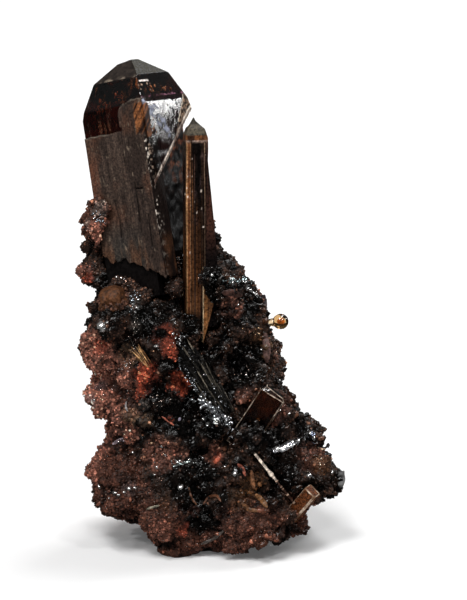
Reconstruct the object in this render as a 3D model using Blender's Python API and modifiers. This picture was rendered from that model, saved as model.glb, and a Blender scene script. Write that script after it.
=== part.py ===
"""Xenotime crystals on their matrix: a small specimen, 34 mm tall, that rests on the flat foot of its stone.

The front of the specimen faces -Y and +X is to its right. Every number is in millimetres or degrees
until it goes into a mesh. A crystal is a block cut by its faces, in a frame of its own: height runs along
the crystal, and an azimuth of 0 faces the front, with plus to the right. The stone is a column of measured
widths with boulders on it, fused, crumpled by noise, set with druse crystals and cut for each crystal.
"""

import math

import bmesh
import bpy
import numpy as np
from mathutils import Matrix, Vector

MM = 0.001
GAP = 0.3
BLOCK = 80.0

# Axial ratio of xenotime: a face of the form {h01} slopes at atan(h * c/a).
AXIAL_RATIO = 0.875
PRISM = 90.0
LOW_PYRAMID = math.degrees(math.atan(AXIAL_RATIO))
STEEP_PYRAMID = math.degrees(math.atan(3.0 * AXIAL_RATIO))

# The stone: half widths of the column at each height.
COLUMN_HEIGHT = (0.0, 1.2, 3.0, 4.8, 6.2, 7.4, 8.6, 10.0, 12.0, 14.4, 16.7, 18.2, 19.2, 20.0)
COLUMN_LEFT = (3.3, 4.8, 7.2, 8.0, 7.2, 6.7, 7.0, 7.7, 7.6, 8.2, 7.9, 7.4, 7.0, 6.3)
COLUMN_RIGHT = (3.6, 5.0, 7.2, 8.8, 8.2, 7.3, 5.6, 5.2, 4.9, 3.9, 3.4, 3.1, 2.0, 0.8)
COLUMN_FRONT = (4.0, 4.8, 5.8, 5.8, 5.2, 4.5, 4.0, 3.9, 4.0, 4.3, 4.3, 3.7, 2.9, 2.0)
COLUMN_BACK = (4.2, 4.8, 5.5, 5.7, 5.5, 5.1, 4.8, 4.8, 4.8, 4.7, 4.5, 4.3, 3.9, 3.4)
CAP_HEIGHT = 0.9
BASE_SQUARENESS = 1.7
COLUMN_SQUARENESS = 2.3
BASE_TOP = 6.5

# Boulders on the column: (centre), (half sizes).
BOULDERS = (
    ((-7.5, 1.0, 22.1), (0.85, 1.5, 2.7)),
    ((-7.1, 1.6, 19.4), (1.2, 2.2, 2.2)),
    ((-8.75, -0.3, 19.2), (0.6, 0.62, 0.6)),
    ((-3.2, 4.0, 20.3), (4.0, 1.6, 2.0)),
    ((0.4, 2.0, 18.8), (1.6, 2.2, 1.2)),
    ((-7.7, -1.4, 14.4), (0.9, 1.8, 1.7)),
    ((-7.7, -1.6, 10.5), (0.9, 1.7, 1.1)),
    ((-6.0, -3.0, 4.6), (1.9, 1.8, 1.7)),
    ((-3.0, -4.8, 3.4), (1.9, 1.4, 2.3)),
    ((-2.0, -3.9, 1.1), (1.5, 1.1, 1.5)),
    ((2.4, -5.0, 2.9), (2.3, 1.2, 2.0)),
    ((6.8, -1.7, 4.7), (2.2, 2.2, 1.5)),
    ((4.3, -3.9, 2.5), (1.8, 1.4, 1.6)),
    ((4.8, -2.6, 9.0), (1.3, 1.5, 1.9)),
    ((2.9, -4.9, 8.2), (1.6, 0.9, 1.3)),
    ((0.1, -4.6, 9.3), (1.2, 1.0, 0.9)),
    ((-3.3, -4.1, 15.4), (1.6, 1.2, 1.7)),
    ((-6.6, -4.0, 16.7), (1.3, 0.9, 1.1)),
    ((1.1, -3.2, 19.2), (0.9, 1.0, 1.3)),
    ((0.45, -4.1, 19.3), (0.8, 0.6, 1.3)),
    ((3.1, 0.4, 16.4), (1.1, 1.9, 1.7)),
    ((1.5, -4.9, 4.7), (0.8, 1.3, 1.0)),
    ((-4.6, 4.6, 6.5), (2.6, 1.5, 2.4)),
    ((3.6, 4.7, 4.6), (2.8, 1.4, 2.4)),
    ((-1.2, 4.9, 13.0), (2.7, 1.1, 2.7)),
)

# Pits: (centre), (half sizes). They are cut before the boulders are set, and the first is the dark
# hollow under the main crystal.
PITS = (
    ((-5.2, -3.2, 19.7), (2.0, 2.2, 1.0)),
    ((-4.9, -5.2, 17.5), (1.2, 2.0, 1.6)),
    ((-0.2, -6.0, 17.2), (1.7, 3.2, 2.2)),
    ((-2.6, -5.5, 17.7), (1.6, 2.8, 2.0)),
    ((-6.6, -4.9, 7.0), (2.6, 2.0, 0.6)),
    ((-1.4, -5.3, 7.4), (2.3, 1.7, 0.6)),
    ((-3.4, -5.4, 10.1), (1.6, 2.4, 1.4)),
    ((2.2, -5.0, 14.5), (1.5, 2.7, 2.2)),
    ((-0.6, -6.9, 4.3), (3.1, 2.7, 1.6)),
    ((5.8, 4.9, 9.6), (1.8, 1.6, 1.1)),
    ((-5.2, 6.0, 10.2), (1.6, 1.5, 0.9)),
)

VOXEL = 0.34
CRAG_SIZES = ((3.1, 0.42), (1.35, 0.34), (0.7, 0.15))
STONE_FACES = 4600
DRUSE_COUNT = 150
DRUSE_SEED = 11
DRUSE_CLEARANCE = 0.55
DRUSE_LOWEST = 1.6
DRUSE_SIZE = (0.34, 0.52)
DRUSE_EXTRA = 0.42
DRUSE_EXTRA_FROM = -2.0
DRUSE_LEAN = 0.35
FOOT_LEVEL = 0.0

# Each crystal's own origin, and its lean back and to the right.
PLACES = {
    "main_crystal": ((-5.09, 2.6, 29.2), (15.0, -9.3)),
    "tall_crystal": ((-0.99, -3.0, 16.2), (8.0, 0.0)),
    "side_blade": ((2.2, -4.35, 8.2), (-4.0, 32.0)),
    "corner_prism": ((6.05, -4.05, 3.1), (-12.0, 37.0)),
    "long_needle": ((5.9, -4.35, 3.7), (-13.0, -35.0)),
    "amber_nub": ((4.0, 0.5, 15.45), (0.0, 84.0)),
    "brown_stub": ((-6.6, -3.3, 17.6), (-22.0, -6.0)),
    "rutile_sheaf": ((0.75, -4.35, 9.9), (3.0, -33.0)),
    "tan_needles": ((-4.15, -4.75, 13.6), (2.0, -35.0)),
}

# Main crystal: half widths across its four sides, and heights along it from its own origin.
LEFT_FRONT, RIGHT_FRONT, RIGHT_BACK, LEFT_BACK = -35.0, 55.0, 145.0, -125.0
MAIN_SIDE = 2.74
MAIN_BACK = 3.0
MAIN_CORE_FRONT = 2.5
MAIN_RECESS = 1.65
MAIN_ROOT = -12.2
MAIN_TOP = 4.54
DIAGONAL = 42.2
DIAGONAL_START = 0.16

# For each side its azimuth, and the reach of its steep and of its low face where these begin.
STEEP_START = 0.83
LOW_START = 3.35
PYRAMIDS = ((LEFT_FRONT, 2.74, 1.70), (RIGHT_FRONT, 2.96, 2.02), (RIGHT_BACK, 2.85, 1.85), (LEFT_BACK, 2.74, 1.70))

# Tall crystal: its own origin is at its root. The rib widens downwards along its right side.
TALL_TURN = 8.0
TALL_TOP = 14.55
TALL_SIDE = 0.76
SPIKE_ASIDE = 0.13
RIB_FRONT = 0.58
RIB_REACH = 1.35
RIB_TOP = 12.4

# The blade in front of the tall crystal's foot, from its lower point to its top.
FOOT_FRONT = 1.12
FOOT_LEFT = 0.38
FOOT_TOP = 4.2

# Small crystals: half widths, half depths and lengths.
SIDE_WIDTH, SIDE_DEPTH, SIDE_LENGTH = 0.96, 0.36, 4.4
CORNER_WIDTH, CORNER_DEPTH, CORNER_LENGTH = 0.50, 0.42, 2.0
NEEDLE_WIDTH, NEEDLE_LENGTH = 0.115, 5.05
NUB_RADIUS, NUB_LENGTH, NUB_STEM = 0.56, 1.52, 0.27
STUB_RADIUS, STUB_LENGTH = 0.78, 1.45

# Sheaves: count of blades, length, spread between the outer two, width and half thickness.
RUTILE_SHEAF = (6, 7.0, 1.7, 0.62, 0.34)
TAN_SHEAF = (4, 1.9, 0.8, 0.30, 0.2)

COLOURS = {
    "matrix": ((0.085, 0.026, 0.016), 0.65),
    "main_crystal": ((0.045, 0.022, 0.012), 0.25),
    "tall_crystal": ((0.13, 0.055, 0.018), 0.22),
    "side_blade": ((0.06, 0.03, 0.015), 0.25),
    "corner_prism": ((0.22, 0.07, 0.02), 0.3),
    "long_needle": ((0.35, 0.24, 0.14), 0.25),
    "amber_nub": ((0.5, 0.24, 0.05), 0.1),
    "brown_stub": ((0.10, 0.05, 0.025), 0.4),
    "rutile_sheaf": ((0.05, 0.05, 0.055), 0.25),
    "tan_needles": ((0.32, 0.17, 0.08), 0.4),
}


def clear_scene():
    for obj in list(bpy.data.objects):
        bpy.data.objects.remove(obj, do_unlink=True)


def make_collection(name):
    collection = bpy.data.collections.new(name)
    bpy.context.scene.collection.children.link(collection)
    return collection


def make_material(name):
    colour, roughness = COLOURS[name]
    material = bpy.data.materials.new(name)
    material.use_nodes = True
    shader = material.node_tree.nodes["Principled BSDF"]
    shader.inputs["Base Color"].default_value = (*colour, 1.0)
    shader.inputs["Roughness"].default_value = roughness
    shader.inputs["Metallic"].default_value = 0.0
    material.diffuse_color = (*colour, 1.0)
    return material


def add_object(name, bm, collection):
    """The bmesh, in millimetres, as an object in metres."""
    bmesh.ops.scale(bm, vec=(MM, MM, MM), verts=bm.verts)
    mesh = bpy.data.meshes.new(name)
    bm.to_mesh(mesh)
    bm.free()
    obj = bpy.data.objects.new(name, mesh)
    collection.objects.link(obj)
    return obj


def make_cutter(obj):
    obj.hide_render = True
    obj.display_type = "WIRE"
    return obj


def settled(obj):
    """The object with its modifiers applied to its mesh."""
    bpy.context.view_layer.update()
    graph = bpy.context.evaluated_depsgraph_get()
    mesh = bpy.data.meshes.new_from_object(obj.evaluated_get(graph))
    obj.modifiers.clear()
    obj.data = mesh
    return obj


def add_boolean(obj, other, operation, solver="EXACT"):
    modifier = obj.modifiers.new(operation.title() + " " + other.name, "BOOLEAN")
    modifier.operation = operation
    modifier.object = other
    modifier.solver = solver
    return modifier


# Crystals


def facet(azimuth, slope, reach, height=0.0):
    """A face whose outside points to the azimuth, sloping from level (0) through upright (90) to
    downward (180), and passing the point at that reach from the axis and that height."""
    across = Vector((math.sin(math.radians(azimuth)), -math.cos(math.radians(azimuth)), 0.0))
    rise = Vector((0.0, 0.0, math.cos(math.radians(slope))))
    return across * reach + Vector((0.0, 0.0, height)), across * math.sin(math.radians(slope)) + rise


def bevel_between(first, second, depth):
    """A face that cuts the edge between two others, this deep."""
    normal = (first[1] + second[1]).normalized()
    along = first[1].cross(second[1])
    offsets = Vector((first[0].dot(first[1]), second[0].dot(second[1]), 0.0))
    edge = Matrix((first[1], second[1], along)).inverted() @ offsets
    return edge - normal * depth, normal


def block_cut(name, facets, grow, collection):
    """A block cut by the faces, each moved out by the growth."""
    bm = bmesh.new()
    bmesh.ops.create_cube(bm, size=BLOCK)
    for point, normal in facets:
        cut = bmesh.ops.bisect_plane(
            bm,
            geom=bm.verts[:] + bm.edges[:] + bm.faces[:],
            dist=1e-6,
            plane_co=point + normal * grow,
            plane_no=normal,
            clear_outer=True,
        )
        rim = [item for item in cut["geom_cut"] if isinstance(item, bmesh.types.BMEdge)]
        bmesh.ops.holes_fill(bm, edges=rim, sides=0)
    bmesh.ops.recalc_face_normals(bm, faces=bm.faces)
    return add_object(name, bm, collection)


def placed(obj, name):
    """The object at the crystal's place, leaning back and to the right."""
    where, (back, right) = PLACES[name]
    obj.location = Vector(where) * MM
    obj.rotation_euler = (math.radians(-back), math.radians(right), 0.0)
    return obj


def add_crystal(name, pieces, parts, cutters):
    """One solid from its cut blocks. Returns the cutters that make room for it in the stone."""
    body = placed(block_cut(name, pieces[0], 0.0, parts), name)
    for number, facets in enumerate(pieces[1:], start=2):
        tool = placed(block_cut(f"{name}_block_{number}", facets, 0.0, cutters), name)
        add_boolean(body, make_cutter(tool), "UNION")
    body.data.materials.append(make_material(name))
    return [
        make_cutter(placed(block_cut(f"{name}_room_{number}", facets, GAP, cutters), name))
        for number, facets in enumerate(pieces, start=1)
    ]


def sides_around(azimuths, slope, reach, height):
    """The same face at each azimuth."""
    return [facet(azimuth, slope, reach, height) for azimuth in azimuths]


def main_pieces():
    """The core with its recessed right front, the overhanging head, and the two dull outer layers."""
    core = [
        facet(LEFT_FRONT, PRISM, MAIN_CORE_FRONT),
        facet(RIGHT_FRONT, PRISM, MAIN_RECESS),
        facet(RIGHT_BACK, PRISM, MAIN_BACK - 0.04),
        facet(LEFT_BACK, PRISM, MAIN_SIDE - 0.04),
        facet(0, 180, 0, MAIN_ROOT),
        facet(0, 0, 0, 0.5),
    ]
    right_face = facet(RIGHT_FRONT, PRISM, MAIN_SIDE)
    underside = facet(RIGHT_BACK, 180 - DIAGONAL, MAIN_SIDE, DIAGONAL_START)
    head = [facet(LEFT_FRONT, PRISM, MAIN_CORE_FRONT + 0.02), right_face]
    head += [facet(RIGHT_BACK, PRISM, MAIN_BACK), facet(LEFT_BACK, PRISM, MAIN_SIDE)]
    for azimuth, steep, low in PYRAMIDS:
        head.append(facet(azimuth, STEEP_PYRAMID, steep, STEEP_START))
        head.append(facet(azimuth, LOW_PYRAMID, low, LOW_START))
    head += [facet(LEFT_BACK, 9, -0.3, MAIN_TOP), underside, bevel_between(right_face, underside, 0.12)]
    left_layer = [
        facet(LEFT_FRONT, PRISM, MAIN_CORE_FRONT + 0.17),
        facet(RIGHT_BACK, PRISM, -1.2),
        facet(LEFT_BACK, PRISM, MAIN_SIDE - 0.1),
        facet(RIGHT_FRONT, PRISM, 0.75),
        facet(LEFT_FRONT, 18, MAIN_CORE_FRONT, -0.1),
        facet(LEFT_BACK, 174, 1.5, -9.2),
    ]
    middle_layer = [
        facet(LEFT_FRONT, PRISM, MAIN_CORE_FRONT + 0.27),
        facet(RIGHT_BACK, PRISM, -1.25),
        facet(LEFT_BACK, PRISM, -0.55),
        facet(RIGHT_FRONT, PRISM, 2.35),
        facet(LEFT_FRONT, STEEP_PYRAMID, MAIN_CORE_FRONT + 0.27, 0.9),
        facet(RIGHT_FRONT, 12, 0.0, 1.75),
        facet(LEFT_BACK, 160, -2.4, -10.8),
    ]
    return [core, head, left_layer, middle_layer]


def tall_pieces():
    """The tapering prism with its two pyramids and spike, its rib, and the pointed blade at its foot."""
    to_front, to_right, to_back, to_left = (TALL_TURN + turn for turn in (0, 90, 180, -90))
    sides = (to_front, to_right, to_back, to_left)
    front = facet(to_front, 89.2, TALL_SIDE, TALL_TOP - 1.5)
    right = facet(to_right, 89.6, TALL_SIDE, TALL_TOP - 1.5)
    back = facet(to_back, 89.2, TALL_SIDE, TALL_TOP - 1.5)
    left = facet(to_left, 90.0, TALL_SIDE, TALL_TOP - 1.5)
    prism = [front, right, back, left, bevel_between(front, left, 0.07), bevel_between(front, right, 0.25)]
    prism += sides_around(sides, STEEP_PYRAMID, 0.66, TALL_TOP - 0.95)
    prism += sides_around(sides, LOW_PYRAMID, 0.33, TALL_TOP - 0.53)
    prism += [facet(0, 180, 0, 0)]
    reaches = (0.02, 0.02 - SPIKE_ASIDE, 0.02, 0.02 + SPIKE_ASIDE)
    spike = [facet(azimuth, 64, reach, TALL_TOP) for azimuth, reach in zip(sides, reaches)]
    spike += [facet(0, 180, 0, TALL_TOP - 0.75)]
    rib = [
        facet(to_front, 89.2, RIB_FRONT, TALL_TOP - 1.5),
        facet(to_back, PRISM, 0.4),
        facet(to_right, 84.4, RIB_REACH, 5.9),
        facet(to_right, PRISM, RIB_REACH + 0.1),
        facet(to_left, PRISM, 0.0),
        facet(0, 180, 0, 0),
        facet(0, 0, 0, RIB_TOP),
    ]
    foot = [
        facet(to_front, PRISM, FOOT_FRONT),
        facet(to_back, PRISM, 0.3),
        facet(to_right, PRISM, FOOT_LEFT + 0.74),
        facet(to_right, 105.5, FOOT_LEFT + 0.74, 1.6),
        facet(to_left, PRISM, -FOOT_LEFT),
        facet(to_right, 30, FOOT_LEFT, FOOT_TOP),
        facet(0, 180, 0, -1.5),
    ]
    return [prism, spike, rib, foot]


def side_pieces():
    """A flat crystal with a straight top, one small and one larger chamfer."""
    return [
        [
            facet(0, PRISM, SIDE_DEPTH),
            facet(180, PRISM, SIDE_DEPTH),
            facet(90, PRISM, SIDE_WIDTH),
            facet(-90, PRISM, SIDE_WIDTH),
            facet(45, PRISM, SIDE_WIDTH - 0.1),
            facet(-135, PRISM, SIDE_WIDTH - 0.1),
            facet(90, 6, 0.0, SIDE_LENGTH),
            facet(-90, 56, SIDE_WIDTH - 0.24, SIDE_LENGTH),
            facet(90, 46, SIDE_WIDTH - 0.2, SIDE_LENGTH - 0.1),
            facet(0, 60, SIDE_DEPTH - 0.1, SIDE_LENGTH - 0.1),
            facet(0, 180, 0, -0.4),
        ]
    ]


def corner_pieces():
    """A short square prism with one cut edge and a low roof."""
    return [
        [
            facet(-25, PRISM, CORNER_DEPTH),
            facet(155, PRISM, CORNER_DEPTH),
            facet(65, PRISM, CORNER_WIDTH),
            facet(-115, PRISM, CORNER_WIDTH),
            facet(20, PRISM, CORNER_WIDTH + 0.08),
            facet(-25, 30, 0.2, CORNER_LENGTH),
            facet(155, 25, 0.2, CORNER_LENGTH + 0.1),
            facet(0, 180, 0, -0.9),
        ]
    ]


def needle_pieces():
    return [
        sides_around((10, 100, 190, 280), PRISM, NEEDLE_WIDTH, 0)
        + [facet(10, 50, 0.0, NEEDLE_LENGTH), facet(190, 130, 0.0, -0.1)]
    ]


def nub_pieces():
    """A rounded knob on a short stem. Its height runs out of the stone."""
    knob = []
    for azimuth in range(0, 360, 45):
        knob += [
            facet(azimuth, PRISM, NUB_RADIUS),
            facet(azimuth + 22, 45, NUB_RADIUS - 0.16, NUB_LENGTH - 0.17),
            facet(azimuth + 22, 135, NUB_RADIUS - 0.16, 0.52),
        ]
    knob += [facet(0, 0, 0, NUB_LENGTH), facet(0, 180, 0, 0.36)]
    stem = sides_around((20, 80, 140, 200, 260, 320), PRISM, NUB_STEM, 0)
    stem += [facet(0, 180, 0, -0.9), facet(0, 0, 0, 0.7)]
    return [knob, stem]


def stub_pieces():
    """A six-sided stub with a blunt point."""
    sides = (0, 60, 120, 180, 240, 300)
    point = sides_around(sides, 42, STUB_RADIUS - 0.23, STUB_LENGTH)
    return [sides_around(sides, PRISM, STUB_RADIUS, 0) + point + [facet(0, 180, 0, -0.8)]]


def sheaf_pieces(count, length, spread, width, thickness):
    """Flat blades fanned about the height axis, each overlapping the next."""
    pieces = []
    for number in range(count):
        side = number / (count - 1) - 0.5
        long = length * (1.0 - 0.35 * abs(side) - 0.12 * (number % 2))
        middle = side * spread
        depth = thickness * (0.8 + 0.45 * (number % 3))
        pieces.append(
            [
                facet(90, PRISM + 2.5 * side, middle + 0.5 * width, 0.5 * length),
                facet(-90, PRISM - 2.5 * side, -middle + 0.5 * width, 0.5 * length),
                facet(0, PRISM - 1.5, depth, 0.5 * length),
                facet(180, PRISM, thickness),
                facet(90, 55, middle, long),
                facet(-90, 55, -middle, long),
                facet(0, 180, 0, -0.15 * (number % 2)),
            ]
        )
    return pieces


# Stone


def scattered(cells, seed):
    """A repeatable number from 0 to 1 for each cell and each of its three directions."""
    waves = np.array(((127.1, 311.7, 74.7), (269.5, 183.3, 246.1), (113.5, 271.9, 124.6)))
    return np.modf(np.abs(np.sin(cells @ waves.T + seed) * 43758.5453))[0]


def cell_distance(points, size, seed):
    """Distance to the nearest of one scattered point per cell, over the cell size: domes with creases."""
    scaled = points / size
    corner = np.floor(scaled)
    nearest = np.full(len(points), 9.0)
    for step in np.ndindex(3, 3, 3):
        cell = corner + np.array(step) - 1.0
        away = np.linalg.norm(cell + scattered(cell, seed) - scaled, axis=1)
        nearest = np.minimum(nearest, away)
    return nearest


def column_surface(unit):
    """Points of a unit sphere carried to the column: latitude becomes height, with a rounded cap at
    each end, and longitude runs round a superellipse of the four half widths at that height."""
    latitude = np.arcsin(np.clip(unit[:, 2], -1.0, 1.0)) / (0.5 * math.pi)
    cap = np.clip((np.abs(latitude) - 0.7) / 0.3, 0.0, 1.0) * 0.5 * math.pi
    body = np.clip(latitude / 0.7, -1.0, 1.0)
    top = COLUMN_HEIGHT[-1]
    height = 0.5 * top * (1.0 + body)
    left, right, front, back = (
        np.interp(height, COLUMN_HEIGHT, widths)
        for widths in (COLUMN_LEFT, COLUMN_RIGHT, COLUMN_FRONT, COLUMN_BACK)
    )
    share = np.clip((height - BASE_TOP) / 3.0 + 0.5, 0.0, 1.0)
    power = 2.0 / (BASE_SQUARENESS + (COLUMN_SQUARENESS - BASE_SQUARENESS) * share)
    round_about = np.arctan2(unit[:, 1], unit[:, 0])
    cosine = np.cos(round_about)
    sine = np.sin(round_about)
    across = np.sign(cosine) * np.abs(cosine) ** power * np.cos(cap)
    deep = np.sign(sine) * np.abs(sine) ** power * np.cos(cap)
    x = 0.5 * (right - left) + 0.5 * (right + left) * across
    y = 0.5 * (back - front) + 0.5 * (back + front) * deep
    z = height + np.sign(latitude) * CAP_HEIGHT * np.sin(cap)
    return np.column_stack((x, y, z))


def sphere_points(segments, rings):
    bm = bmesh.new()
    bmesh.ops.create_uvsphere(bm, u_segments=segments, v_segments=rings, radius=1.0)
    return bm, np.array([vertex.co for vertex in bm.verts])


def set_points(bm, points):
    for vertex, point in zip(bm.verts, points):
        vertex.co = point


def add_column(collection):
    bm, unit = sphere_points(72, 60)
    set_points(bm, column_surface(unit))
    return add_object("stone_column", bm, collection)


def add_boulder(name, centre, half, collection):
    bm, unit = sphere_points(20, 12)
    set_points(bm, np.array(centre) + unit * np.array(half))
    return add_object(name, bm, collection)


def crumple(mesh):
    """Moves each point along its normal by domes and creases of three sizes."""
    count = len(mesh.vertices)
    points = np.empty(count * 3, np.float32)
    mesh.vertices.foreach_get("co", points)
    points = points.reshape(-1, 3).astype(float) / MM
    normals = np.empty(count * 3, np.float32)
    mesh.vertex_normals.foreach_get("vector", normals)
    normals = normals.reshape(-1, 3)
    rise = np.zeros(count)
    for number, (size, height) in enumerate(CRAG_SIZES):
        rise += height * (0.62 - cell_distance(points, size, 3.0 + number)) / 0.4
    mesh.vertices.foreach_set("co", ((points + normals * rise[:, None]) * MM).ravel())
    mesh.update()


def decimated(obj, faces):
    modifier = obj.modifiers.new("Fewer faces", "DECIMATE")
    modifier.ratio = min(1.0, faces / (2.0 * len(obj.data.polygons)))
    modifier.use_collapse_triangulate = True
    return settled(obj)


def largest_piece(mesh):
    """Drops the crumbs that a cut leaves loose."""
    bm = bmesh.new()
    bm.from_mesh(mesh)
    left = set(bm.verts)
    islands = []
    while left:
        front = [left.pop()]
        island = list(front)
        while front:
            near = {edge.other_vert(vertex) for vertex in front for edge in vertex.link_edges} & left
            left -= near
            front = list(near)
            island += front
        islands.append(island)
    keep = set(max(islands, key=len))
    bmesh.ops.delete(bm, geom=[vertex for vertex in bm.verts if vertex not in keep], context="VERTS")
    bm.to_mesh(mesh)
    bm.free()


def druse_crystal(name, centre, outward, size, sides, draw, collection):
    """A stubby pointed prism that leans a little off the outward direction."""
    bm = bmesh.new()
    bmesh.ops.create_cone(
        bm, cap_ends=True, segments=sides, radius1=size, radius2=0.45 * size, depth=1.7 * size
    )
    obj = make_cutter(add_object(name, bm, collection))
    lean = outward + Vector(draw.normal(0.0, DRUSE_LEAN, 3))
    obj.rotation_mode = "QUATERNION"
    obj.rotation_quaternion = lean.to_track_quat("Z", "Y")
    obj.location = centre * MM
    return obj


def near_rooms(point, rooms, clearance):
    """Whether the point lies in or close to the room kept for a crystal."""
    for room in rooms:
        inside = room.matrix_world.inverted() @ (Vector(point) * MM)
        planes = [(polygon.center, polygon.normal) for polygon in room.data.polygons]
        if max((inside - centre).dot(normal) for centre, normal in planes) < clearance * MM:
            return True
    return False


def add_druse(stone, rooms, collection):
    """Scatters the druse over the stone, larger at the right and smaller at the left, clear of the foot."""
    draw = np.random.default_rng(DRUSE_SEED)
    faces = stone.data.polygons
    areas = np.array([face.area for face in faces])
    chosen = draw.choice(len(faces), size=DRUSE_COUNT, replace=False, p=areas / areas.sum())
    for number, index in enumerate(chosen):
        face = faces[int(index)]
        centre = face.center / MM
        if centre.z < DRUSE_LOWEST or near_rooms(centre, rooms, DRUSE_CLEARANCE):
            continue
        size = draw.uniform(*DRUSE_SIZE) + DRUSE_EXTRA * draw.random() * (centre.x > DRUSE_EXTRA_FROM)
        sides = int(draw.integers(4, 7))
        druse_crystal(f"druse_{number:03d}", centre, face.normal, size, sides, draw, collection)


def add_stone(rooms, parts, cutters):
    column = add_column(parts)
    column.name = "matrix"
    for number, (centre, half) in enumerate(PITS):
        pit = make_cutter(add_boulder(f"pit_{number:02d}", centre, half, cutters))
        add_boolean(column, pit, "DIFFERENCE")
    for number, (centre, half) in enumerate(BOULDERS):
        boulder = make_cutter(add_boulder(f"boulder_{number:02d}", centre, half, cutters))
        add_boolean(column, boulder, "UNION")
    remesh = column.modifiers.new("Even faces", "REMESH")
    remesh.mode = "VOXEL"
    remesh.voxel_size = VOXEL * MM
    smooth = column.modifiers.new("Ease the steps", "SMOOTH")
    smooth.factor = 0.5
    smooth.iterations = 3
    stone = settled(column)
    crumple(stone.data)
    decimated(stone, STONE_FACES)
    druse = bpy.data.collections.new("Druse")
    cutters.children.link(druse)
    add_druse(stone, rooms, druse)
    joined = stone.modifiers.new("Druse", "BOOLEAN")
    joined.operation = "UNION"
    joined.operand_type = "COLLECTION"
    joined.collection = druse
    joined.solver = "MANIFOLD"
    for room in rooms:
        add_boolean(stone, room, "DIFFERENCE", "MANIFOLD")
    ground = [facet(0, 0, 0, FOOT_LEVEL), facet(0, 180, 0, FOOT_LEVEL - 10.0)]
    ground += sides_around((0, 90, 180, 270), PRISM, 20.0, 0)
    add_boolean(stone, make_cutter(block_cut("ground", ground, 0.0, cutters)), "DIFFERENCE", "MANIFOLD")
    settled(stone)
    largest_piece(stone.data)
    stone.data.materials.clear()
    stone.data.materials.append(make_material("matrix"))
    return stone


def main():
    clear_scene()
    parts = make_collection("Xenotime on matrix")
    cutters = make_collection("Cutters")
    crystals = {
        "main_crystal": main_pieces(),
        "tall_crystal": tall_pieces(),
        "side_blade": side_pieces(),
        "corner_prism": corner_pieces(),
        "long_needle": needle_pieces(),
        "amber_nub": nub_pieces(),
        "brown_stub": stub_pieces(),
        "rutile_sheaf": sheaf_pieces(*RUTILE_SHEAF),
        "tan_needles": sheaf_pieces(*TAN_SHEAF),
    }
    rooms = []
    for name, pieces in crystals.items():
        rooms += add_crystal(name, pieces, parts, cutters)
    bpy.context.view_layer.update()
    add_stone(rooms, parts, cutters)


main()
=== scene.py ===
# %% [markdown]
# # A xenotime specimen: dark crystals on a crusted stone
# The specimen is 34 mm tall. The frame holds the measured solids: the stone and nine crystals, each in its
# place. This lesson gives every one of them its real surface, then lights it like a small studio.
# All lengths are in millimetres until they go into a mesh, and the front faces -Y.

# %% Load the frame
import math

import bmesh
import bpy
import numpy as np
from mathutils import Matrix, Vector


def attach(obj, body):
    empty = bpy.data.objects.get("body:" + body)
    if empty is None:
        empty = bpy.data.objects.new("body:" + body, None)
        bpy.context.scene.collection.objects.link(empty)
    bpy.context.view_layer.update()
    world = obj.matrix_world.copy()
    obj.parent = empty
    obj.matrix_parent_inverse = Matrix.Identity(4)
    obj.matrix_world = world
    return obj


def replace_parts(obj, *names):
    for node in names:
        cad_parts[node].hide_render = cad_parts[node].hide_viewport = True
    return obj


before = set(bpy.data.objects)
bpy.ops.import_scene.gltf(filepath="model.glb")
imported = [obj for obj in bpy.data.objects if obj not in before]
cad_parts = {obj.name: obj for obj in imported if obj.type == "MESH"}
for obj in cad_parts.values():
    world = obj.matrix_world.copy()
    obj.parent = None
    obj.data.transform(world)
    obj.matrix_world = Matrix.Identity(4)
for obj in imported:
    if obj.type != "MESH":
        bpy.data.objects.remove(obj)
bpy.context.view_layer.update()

MM = 0.001
print("solids:", sorted(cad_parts))

# %% [markdown]
# ## The camera
# The specimen is seen from the front, 15 degrees above level, through a long lens that keeps its uprights
# straight. The picture is 467 pixels wide and 600 tall, and 14.3 of its pixels are one millimetre.

# %% Camera
PIXEL = 0.07
PICTURE_HEIGHT = 600
LOOK_AT = (1.65, 0.0, 17.25)
ELEVATION = 15.0
DISTANCE = 400.0
SENSOR = 36.0


def direction(azimuth, elevation):
    """The unit vector from the specimen towards that azimuth (0 is the front, plus is to the right) and
    height angle."""
    level = math.cos(math.radians(elevation))
    turn = math.radians(azimuth)
    return Vector((math.sin(turn) * level, -math.cos(turn) * level, math.sin(math.radians(elevation))))


VIEW = direction(0.0, ELEVATION)
EYE = Vector(LOOK_AT) + VIEW * DISTANCE
PICTURE_UP = Vector((0.0, math.sin(math.radians(ELEVATION)), math.cos(math.radians(ELEVATION))))


def add_camera():
    """A camera that looks down the line of sight, with a lens as long as sensor * distance / picture."""
    data = bpy.data.cameras.new("camera")
    data.sensor_width = SENSOR
    data.lens = SENSOR * DISTANCE / (PICTURE_HEIGHT * PIXEL)
    data.clip_start = 0.01
    camera = bpy.data.objects.new("camera", data)
    camera.location = EYE * MM
    camera.rotation_euler = VIEW.to_track_quat("Z", "Y").to_euler()
    bpy.context.scene.collection.objects.link(camera)
    bpy.context.scene.camera = camera
    return camera


camera = add_camera()
print("lens", round(camera.data.lens), "mm")

# %% [markdown]
# ## Surfaces from arrays
# A crystal or a grain is easiest to describe by a formula for its points. These helpers turn a grid of
# points into faces, close its ends, see that the faces point outwards, and hang colours on the points.

# %% From points to a piece
def grid_faces(rows, columns):
    """Quads between neighbouring points of rings, row after row, each ring joined to itself."""
    here = np.arange(rows * columns).reshape(rows, columns)
    after = np.roll(here, -1, axis=1)
    return np.stack((here[:-1], after[:-1], after[1:], here[1:]), axis=-1).reshape(-1, 4)


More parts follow.
